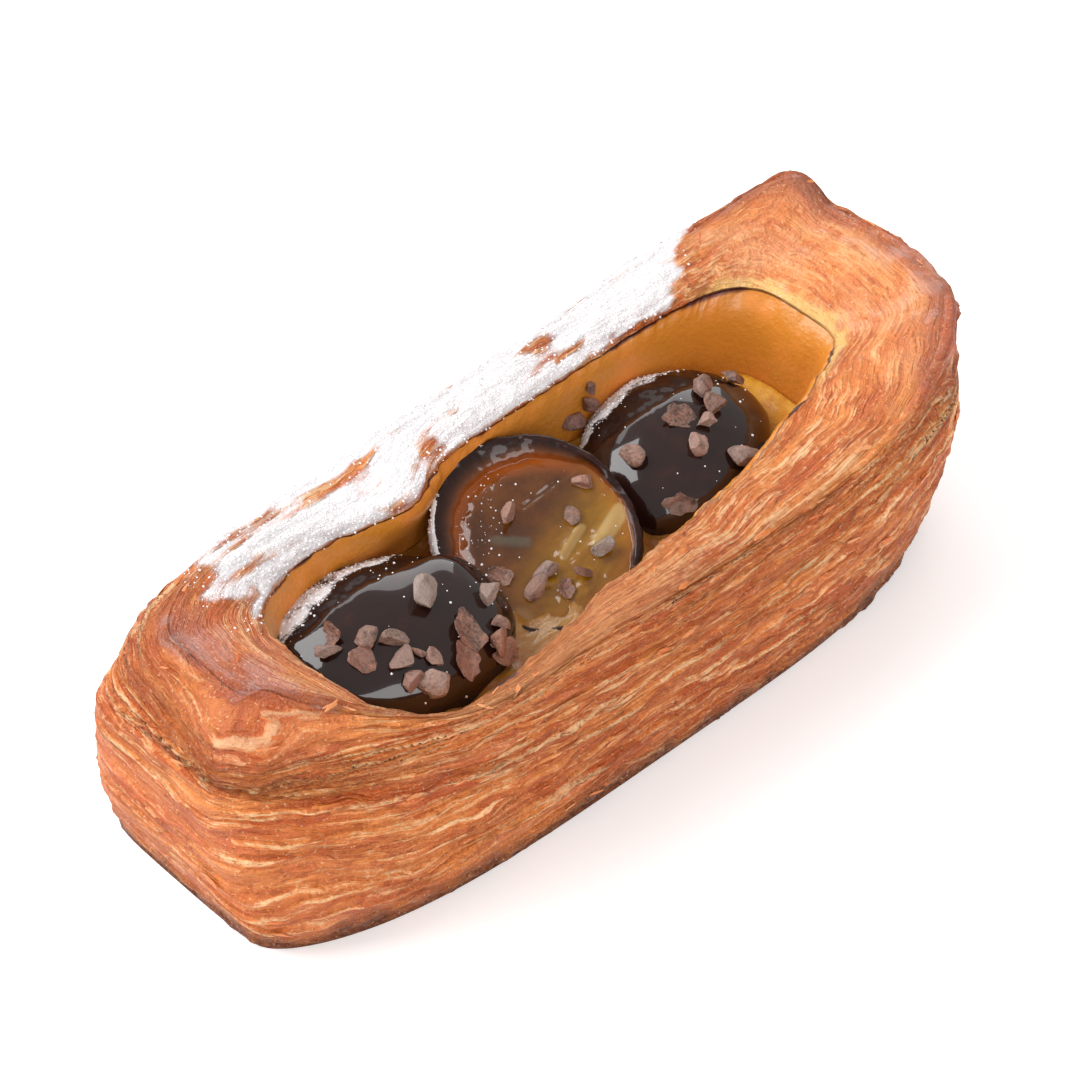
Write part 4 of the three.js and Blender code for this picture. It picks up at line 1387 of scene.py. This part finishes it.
def nib_mesh():
    """Points, faces and tones of all nibs as one mesh."""
    random = np.random.default_rng(NIB_SEED)
    sphere, sphere_faces = ball(NIB_ROUNDS)
    points, faces, tones = [], [], []
    for place, normal, nib in nib_places():
        is_shell = nib.form == "shell"
        body = shell(sphere, random) if is_shell else chip(sphere, random, nib.form)
        lean = unit(normal + NIB_LEAN * random.normal(size=3))
        axes = facing_frame(lean, random.uniform(0, 2 * math.pi))
        lift = SHELL_LIFT if is_shell else CHIP_LIFT
        faces += [[index + len(points) * len(sphere) for index in face] for face in sphere_faces]
        points.append(body * nib.size @ axes + place + normal * nib.size * lift)
        tones.append(np.tile([nib.grey, nib.pale, random.uniform()], (len(sphere), 1)))
    return np.concatenate(points), faces, {"tone": np.concatenate(tones)}


def nib_material(nib):
    r = Recipe("cacao_nib")
    tone = r.node("ShaderNodeSeparateXYZ", None, Vector=r.vector_field("tone"))
    grey, pale, own = tone.out("X"), tone.out("Y"), tone.out("Z")
    cloud = r.noise(520, 4, 0.65)
    fine = r.noise(2200, 3, 0.6)
    colour = r.mix((cloud + own * 0.2 - 0.1).step(0.32, 0.62), nib.dark, nib.brown)
    colour = r.mix(grey * cloud.step(0.2, 0.5), colour, nib.grey)
    colour = r.mix(pale * 0.6 * fine.step(0.25, 0.7), colour, nib.pale)
    return r.finish(
        Base_Color=colour,
        Roughness=0.5,
        Specular_IOR_Level=0.45,
        Normal=r.bump(cloud + fine * 0.5, 0.0004, 0.9),
    )


class DANISH_OT_nibs(bpy.types.Operator):
    """Strews the cacao nibs over the chestnuts"""

    bl_idname = "danish.nibs"
    bl_label = "Cacao nibs"

    def execute(self, context):
        points, faces, fields = nib_mesh()
        material = nib_material(context.scene.danish.nib)
        nibs = add_piece("cacao_nibs", points, faces, material, None, fields)
        nibs.data.shade_flat()
        return {"FINISHED"}


# ---- Flakes ----------------------------------------------------------------------------------

# A flake's rows from its top to its underside: share of its size and place in its thickness.
FLAKE_ROWS = ((0.55, 0.5), (1.0, 0.25), (1.0, -0.25), (0.55, -0.5))
FLAKE_SEED = 21
FLAKE_CORNERS = 10
FLAKE_SIZE = (0.6, 1.9)     # mm from the middle to the ends
FLAKE_WIDTH = (0.12, 0.3)   # as a share of its size
FLAKE_THICKNESS = 0.1       # mm
LOWEST_FLAKE = 3            # mm above the foot


def flake_chance(mesh):
    """How likely each vertex of the dough is to carry a flake: on the edges of bare layers."""
    height = vertex_vectors(mesh, "co")[:, 2] / MM
    on_edge = np.clip(vertex_field(mesh, "crest") - 0.25, 0, 1) * (height > LOWEST_FLAKE)
    return on_edge * (vertex_field(mesh, "inside") < 0.5) * (vertex_field(mesh, "sugar") < 0.2)


def flake_rows(random, place, normal):
    """Rows of one thin torn flake that lies along the layers."""
    along = unit(np.cross([0, 0, 1.0], normal) + 0.12 * random.normal(size=3))
    across = np.cross(normal, along)
    size = random.uniform(*FLAKE_SIZE)
    wide = size * random.uniform(*FLAKE_WIDTH)
    torn = 1 + 0.45 * random.uniform(-1, 1, size=FLAKE_CORNERS)
    lean = random.uniform(-0.1, 0.25)
    turn = np.arange(FLAKE_CORNERS) / FLAKE_CORNERS * 2 * math.pi
    for share, side in FLAKE_ROWS:
        a, b = size * share * torn * np.cos(turn), wide * share * torn * np.sin(turn)
        up = FLAKE_THICKNESS * side + lean * b + 0.05 * a * a / size
        yield place + a[:, None] * along + b[:, None] * across + up[:, None] * normal


def flake_mesh(settings):
    """Points, faces and shades of all flakes as one mesh."""
    random = np.random.default_rng(FLAKE_SEED)
    mesh = bpy.data.objects["laminated_dough"].data
    places, facing = vertex_vectors(mesh, "co") / MM, vertex_vectors(mesh, "normal")
    chance = flake_chance(mesh)
    chosen = random.choice(len(places), size=settings.flakes, replace=False, p=chance / chance.sum())
    flake_faces = [face[::-1] for face in loft_faces(len(FLAKE_ROWS), FLAKE_CORNERS)]
    points, faces, shades = [], [], []
    for number, index in enumerate(chosen):
        rows = list(flake_rows(random, places[index], unit(facing[index].astype(float))))
        points.append(np.concatenate([*rows, [rows[0].mean(axis=0), rows[-1].mean(axis=0)]]))
        faces += [[corner + number * len(points[0]) for corner in face] for face in flake_faces]
        shades.append(np.full(len(points[0]), random.uniform()))
    return np.concatenate(points), faces, {"shade": np.concatenate(shades)}


def flake_material(dough):
    r = Recipe("flake")
    shade = r.field("shade")
    cloud = r.noise(600, 3, 0.6)
    colour = r.mix(shade * 0.7, dough.golden, dough.pale)
    colour = r.mix((cloud + shade * 0.4).step(0.45, 0.9) * 0.5, dough.deep, colour)
    return r.finish(
        Base_Color=colour,
        Roughness=0.55,
        Subsurface_Weight=0.2,
        Subsurface_Radius=(0.002, 0.001, 0.0005),
        Subsurface_Scale=1.0,
        Normal=r.bump(cloud, 0.0003, 0.6),
    )


class DANISH_OT_flakes(bpy.types.Operator):
    """Lays loose flakes on the layers of the dough"""

    bl_idname = "danish.flakes"
    bl_label = "Flakes"

    def execute(self, context):
        dough = context.scene.danish.dough
        points, faces, fields = flake_mesh(dough)
        add_piece("loose_flakes", points, faces, flake_material(dough), None, fields)
        return {"FINISHED"}


# ---- Powdered sugar --------------------------------------------------------------------------

GRAIN_SEED = 5
GRAIN_SKEW = 2.2            # above 1, small grains are more common than large ones
SMALLEST_GRAIN = 0.3        # share of the largest grain
FULL_TURN = (6.28, 6.28, 6.28)


def input_name(tree, name):
    """The identifier of a group's input."""
    return next(item.identifier for item in tree.interface.items_tree if item.name == name)


def grain_tree(material):
    """Scatters grains where the field sugar is high."""
    tree = bpy.data.node_groups.new("sugar_grains", "GeometryNodeTree")
    tree.interface.new_socket("Geometry", in_out="INPUT", socket_type="NodeSocketGeometry")
    for name in ("Density", "Smallest", "Largest"):
        tree.interface.new_socket(name, in_out="INPUT", socket_type="NodeSocketFloat")
    tree.interface.new_socket("Seed", in_out="INPUT", socket_type="NodeSocketInt")
    tree.interface.new_socket("Geometry", in_out="OUTPUT", socket_type="NodeSocketGeometry")

    def node(output, kind, settings=None, **inputs):
        return add_node(tree, kind, settings, **inputs).outputs[output]

    given = add_node(tree, "NodeGroupInput").outputs
    sugar = node("Attribute", "GeometryNodeInputNamedAttribute", {"data_type": "FLOAT"}, Name="sugar")
    amount = node(0, "ShaderNodeMath", {"operation": "MULTIPLY"}, i0=sugar, i1=given["Density"])
    spread = node(
        "Points", "GeometryNodeDistributePointsOnFaces", {"distribute_method": "RANDOM"},
        Mesh=given["Geometry"], Density=amount, Seed=given["Seed"],
    )
    grain = node("Mesh", "GeometryNodeMeshIcoSphere", None, Radius=0.5, Subdivisions=1)
    chance = node("Value", "FunctionNodeRandomValue", {"data_type": "FLOAT"}, Seed=given["Seed"])
    skewed = node(0, "ShaderNodeMath", {"operation": "POWER"}, i0=chance, i1=GRAIN_SKEW)
    size = node(
        "Result", "ShaderNodeMapRange", None,
        Value=skewed, To_Min=given["Smallest"], To_Max=given["Largest"],
    )
    turn = node("Value", "FunctionNodeRandomValue", {"data_type": "FLOAT_VECTOR"}, i1=FULL_TURN)
    laid = node(
        "Instances", "GeometryNodeInstanceOnPoints", None,
        Points=spread, Instance=grain, Rotation=turn, Scale=size,
    )
    real = node("Geometry", "GeometryNodeRealizeInstances", None, Geometry=laid)
    done = node("Geometry", "GeometryNodeSetMaterial", None, Geometry=real, Material=material)
    add_node(tree, "NodeGroupOutput", None, Geometry=done)
    return tree


def sugared_mesh(names):
    """One mesh of several pieces with their sugar field, to scatter on."""
    points, faces, sugar = [], [], []
    start = 0
    for name in names:
        mesh = bpy.data.objects[name].data
        points.append(vertex_vectors(mesh, "co"))
        sugar.append(vertex_field(mesh, "sugar"))
        faces += [[index + start for index in face.vertices] for face in mesh.polygons]
        start += len(mesh.vertices)
    mesh = bpy.data.meshes.new("sugared_places")
    mesh.from_pydata(np.concatenate(points).tolist(), [], faces)
    mesh.attributes.new("sugar", "FLOAT", "POINT").data.foreach_set("value", np.concatenate(sugar))
    return mesh


def sugar_material(sugar):
    return Recipe("sugar").finish(Base_Color=sugar.white, Roughness=0.7)


class DANISH_OT_sugar(bpy.types.Operator):
    """Dusts the back rim and the chestnuts with powdered sugar"""

    bl_idname = "danish.sugar"
    bl_label = "Powdered sugar"

    def execute(self, context):
        sugar = context.scene.danish.sugar
        mesh = sugared_mesh(("laminated_dough", "glazed_left", "glazed_right", "cut_middle"))
        source = bpy.data.objects.new("sugared_places", mesh)
        context.scene.collection.objects.link(source)
        tree = grain_tree(sugar_material(sugar))
        scatter = source.modifiers.new("grains", "NODES")
        scatter.node_group = tree
        scatter[input_name(tree, "Density")] = sugar.density
        scatter[input_name(tree, "Smallest")] = sugar.grain * SMALLEST_GRAIN
        scatter[input_name(tree, "Largest")] = sugar.grain
        scatter[input_name(tree, "Seed")] = GRAIN_SEED
        context.view_layer.update()
        evaluated = source.evaluated_get(context.evaluated_depsgraph_get())
        grains = bpy.data.meshes.new_from_object(evaluated)
        grains.name = "sugar_grains"
        bpy.data.objects.remove(source)
        bpy.data.meshes.remove(mesh)
        piece = bpy.data.objects.new("sugar_grains", grains)
        context.scene.collection.objects.link(piece)
        keep(piece)
        return {"FINISHED"}


# ---- Stage -----------------------------------------------------------------------------------

FLOOR_REACH = 3.0           # metres from the middle to each side
LIT_POINT = (0, 0, 0.02)    # metres, the point that the softboxes face
# Each softbox: the setting of its power, its size and its place in metres.
SOFTBOXES = {
    "back_softbox": ("back", (1.8, 0.6), (0.55, 1.0, 0.7)),
    "side_softbox": ("key", (1.0, 1.0), (-0.7, 0.75, 0.95)),
    "front_softbox": ("fill", (1.0, 0.7), (-0.45, -1.1, 0.8)),
}


def add_floor(stage):
    mesh = bpy.data.meshes.new("floor")
    corners = [(x * FLOOR_REACH, y * FLOOR_REACH, 0) for x, y in ((-1, -1), (1, -1), (1, 1), (-1, 1))]
    mesh.from_pydata(corners, [], [(0, 1, 2, 3)])
    mesh.materials.append(Recipe("paper").finish(
        Base_Color=stage.floor, Roughness=0.9, Emission_Color=stage.floor, Emission_Strength=stage.glow,
    ))
    floor = bpy.data.objects.new("floor", mesh)
    bpy.context.scene.collection.objects.link(floor)


def add_softbox(name, watts, size, place):
    light = bpy.data.lights.new(name, "AREA")
    light.shape = "RECTANGLE"
    light.size, light.size_y = size
    light.energy = watts
    lamp = bpy.data.objects.new(name, light)
    lamp.location = place
    lamp.rotation_euler = (Vector(LIT_POINT) - Vector(place)).to_track_quat("-Z", "Y").to_euler()
    bpy.context.scene.collection.objects.link(lamp)


def add_surroundings(strength):
    world = bpy.data.worlds.new("surroundings")
    world.use_nodes = True
    inputs = world.node_tree.nodes["Background"].inputs
    inputs["Color"].default_value = (1, 1, 1, 1)
    inputs["Strength"].default_value = strength
    bpy.context.scene.world = world


def add_camera():
    """The photograph's camera, which looks at the danish from the front left and above."""
    camera = bpy.data.cameras.new("camera")
    camera.sensor_width = SENSOR
    camera.lens = PIXELS_PER_MM * CAMERA_DISTANCE / PHOTO_SIDE * SENSOR
    camera.clip_start = 0.01
    flat = math.cos(CAMERA_ELEVATION)
    east, north = math.sin(CAMERA_AZIMUTH) * flat, -math.cos(CAMERA_AZIMUTH) * flat
    towards_camera = Vector((east, north, math.sin(CAMERA_ELEVATION)))
    target = Vector(CAMERA_TARGET) - Vector((*CENTRE, 0))
    seat = bpy.data.objects.new("camera", camera)
    seat.location = (target + towards_camera * CAMERA_DISTANCE) * MM
    seat.rotation_euler = (-towards_camera).to_track_quat("-Z", "Y").to_euler()
    bpy.context.scene.collection.objects.link(seat)
    bpy.context.scene.camera = seat


class DANISH_OT_stage(bpy.types.Operator):
    """Sets up the pale floor, the soft light and the camera"""

    bl_idname = "danish.stage"
    bl_label = "Stage"

    def execute(self, context):
        stage = context.scene.danish.stage
        add_floor(stage)
        for name, (power, size, place) in SOFTBOXES.items():
            add_softbox(name, getattr(stage, power), size, place)
        add_surroundings(stage.sky)
        add_camera()
        context.scene.view_settings.view_transform = "Standard"
        return {"FINISHED"}


# ---- Add-on ----------------------------------------------------------------------------------

STEPS = (
    DANISH_OT_dough, DANISH_OT_custard, DANISH_OT_glazed_chestnuts, DANISH_OT_cut_chestnut,
    DANISH_OT_nibs, DANISH_OT_flakes, DANISH_OT_sugar, DANISH_OT_stage,
)


class DANISH_PT_panel(bpy.types.Panel):
    """Settings and steps of the danish"""

    bl_label = "Chestnut danish"
    bl_idname = "DANISH_PT_panel"
    bl_space_type = "VIEW_3D"
    bl_region_type = "UI"
    bl_category = "Danish"

    def draw(self, context):
        for name in GROUPS:
            group = getattr(context.scene.danish, name)
            box = self.layout.box()
            box.label(text=name.capitalize())
            for key in group.__annotations__:
                box.prop(group, key)
        for step in STEPS:
            self.layout.operator(step.bl_idname)


CLASSES = (*GROUPS.values(), DanishSettings, *STEPS, DANISH_PT_panel)


def register():
    for cls in CLASSES:
        bpy.utils.register_class(cls)
    bpy.types.Scene.danish = PointerProperty(type=DanishSettings)


def unregister():
    del bpy.types.Scene.danish
    for cls in reversed(CLASSES):
        bpy.utils.unregister_class(cls)


def main():
    register()
    for step in STEPS:
        area, name = step.bl_idname.split(".")
        getattr(getattr(bpy.ops, area), name)()


if __name__ == "__main__":
    main()
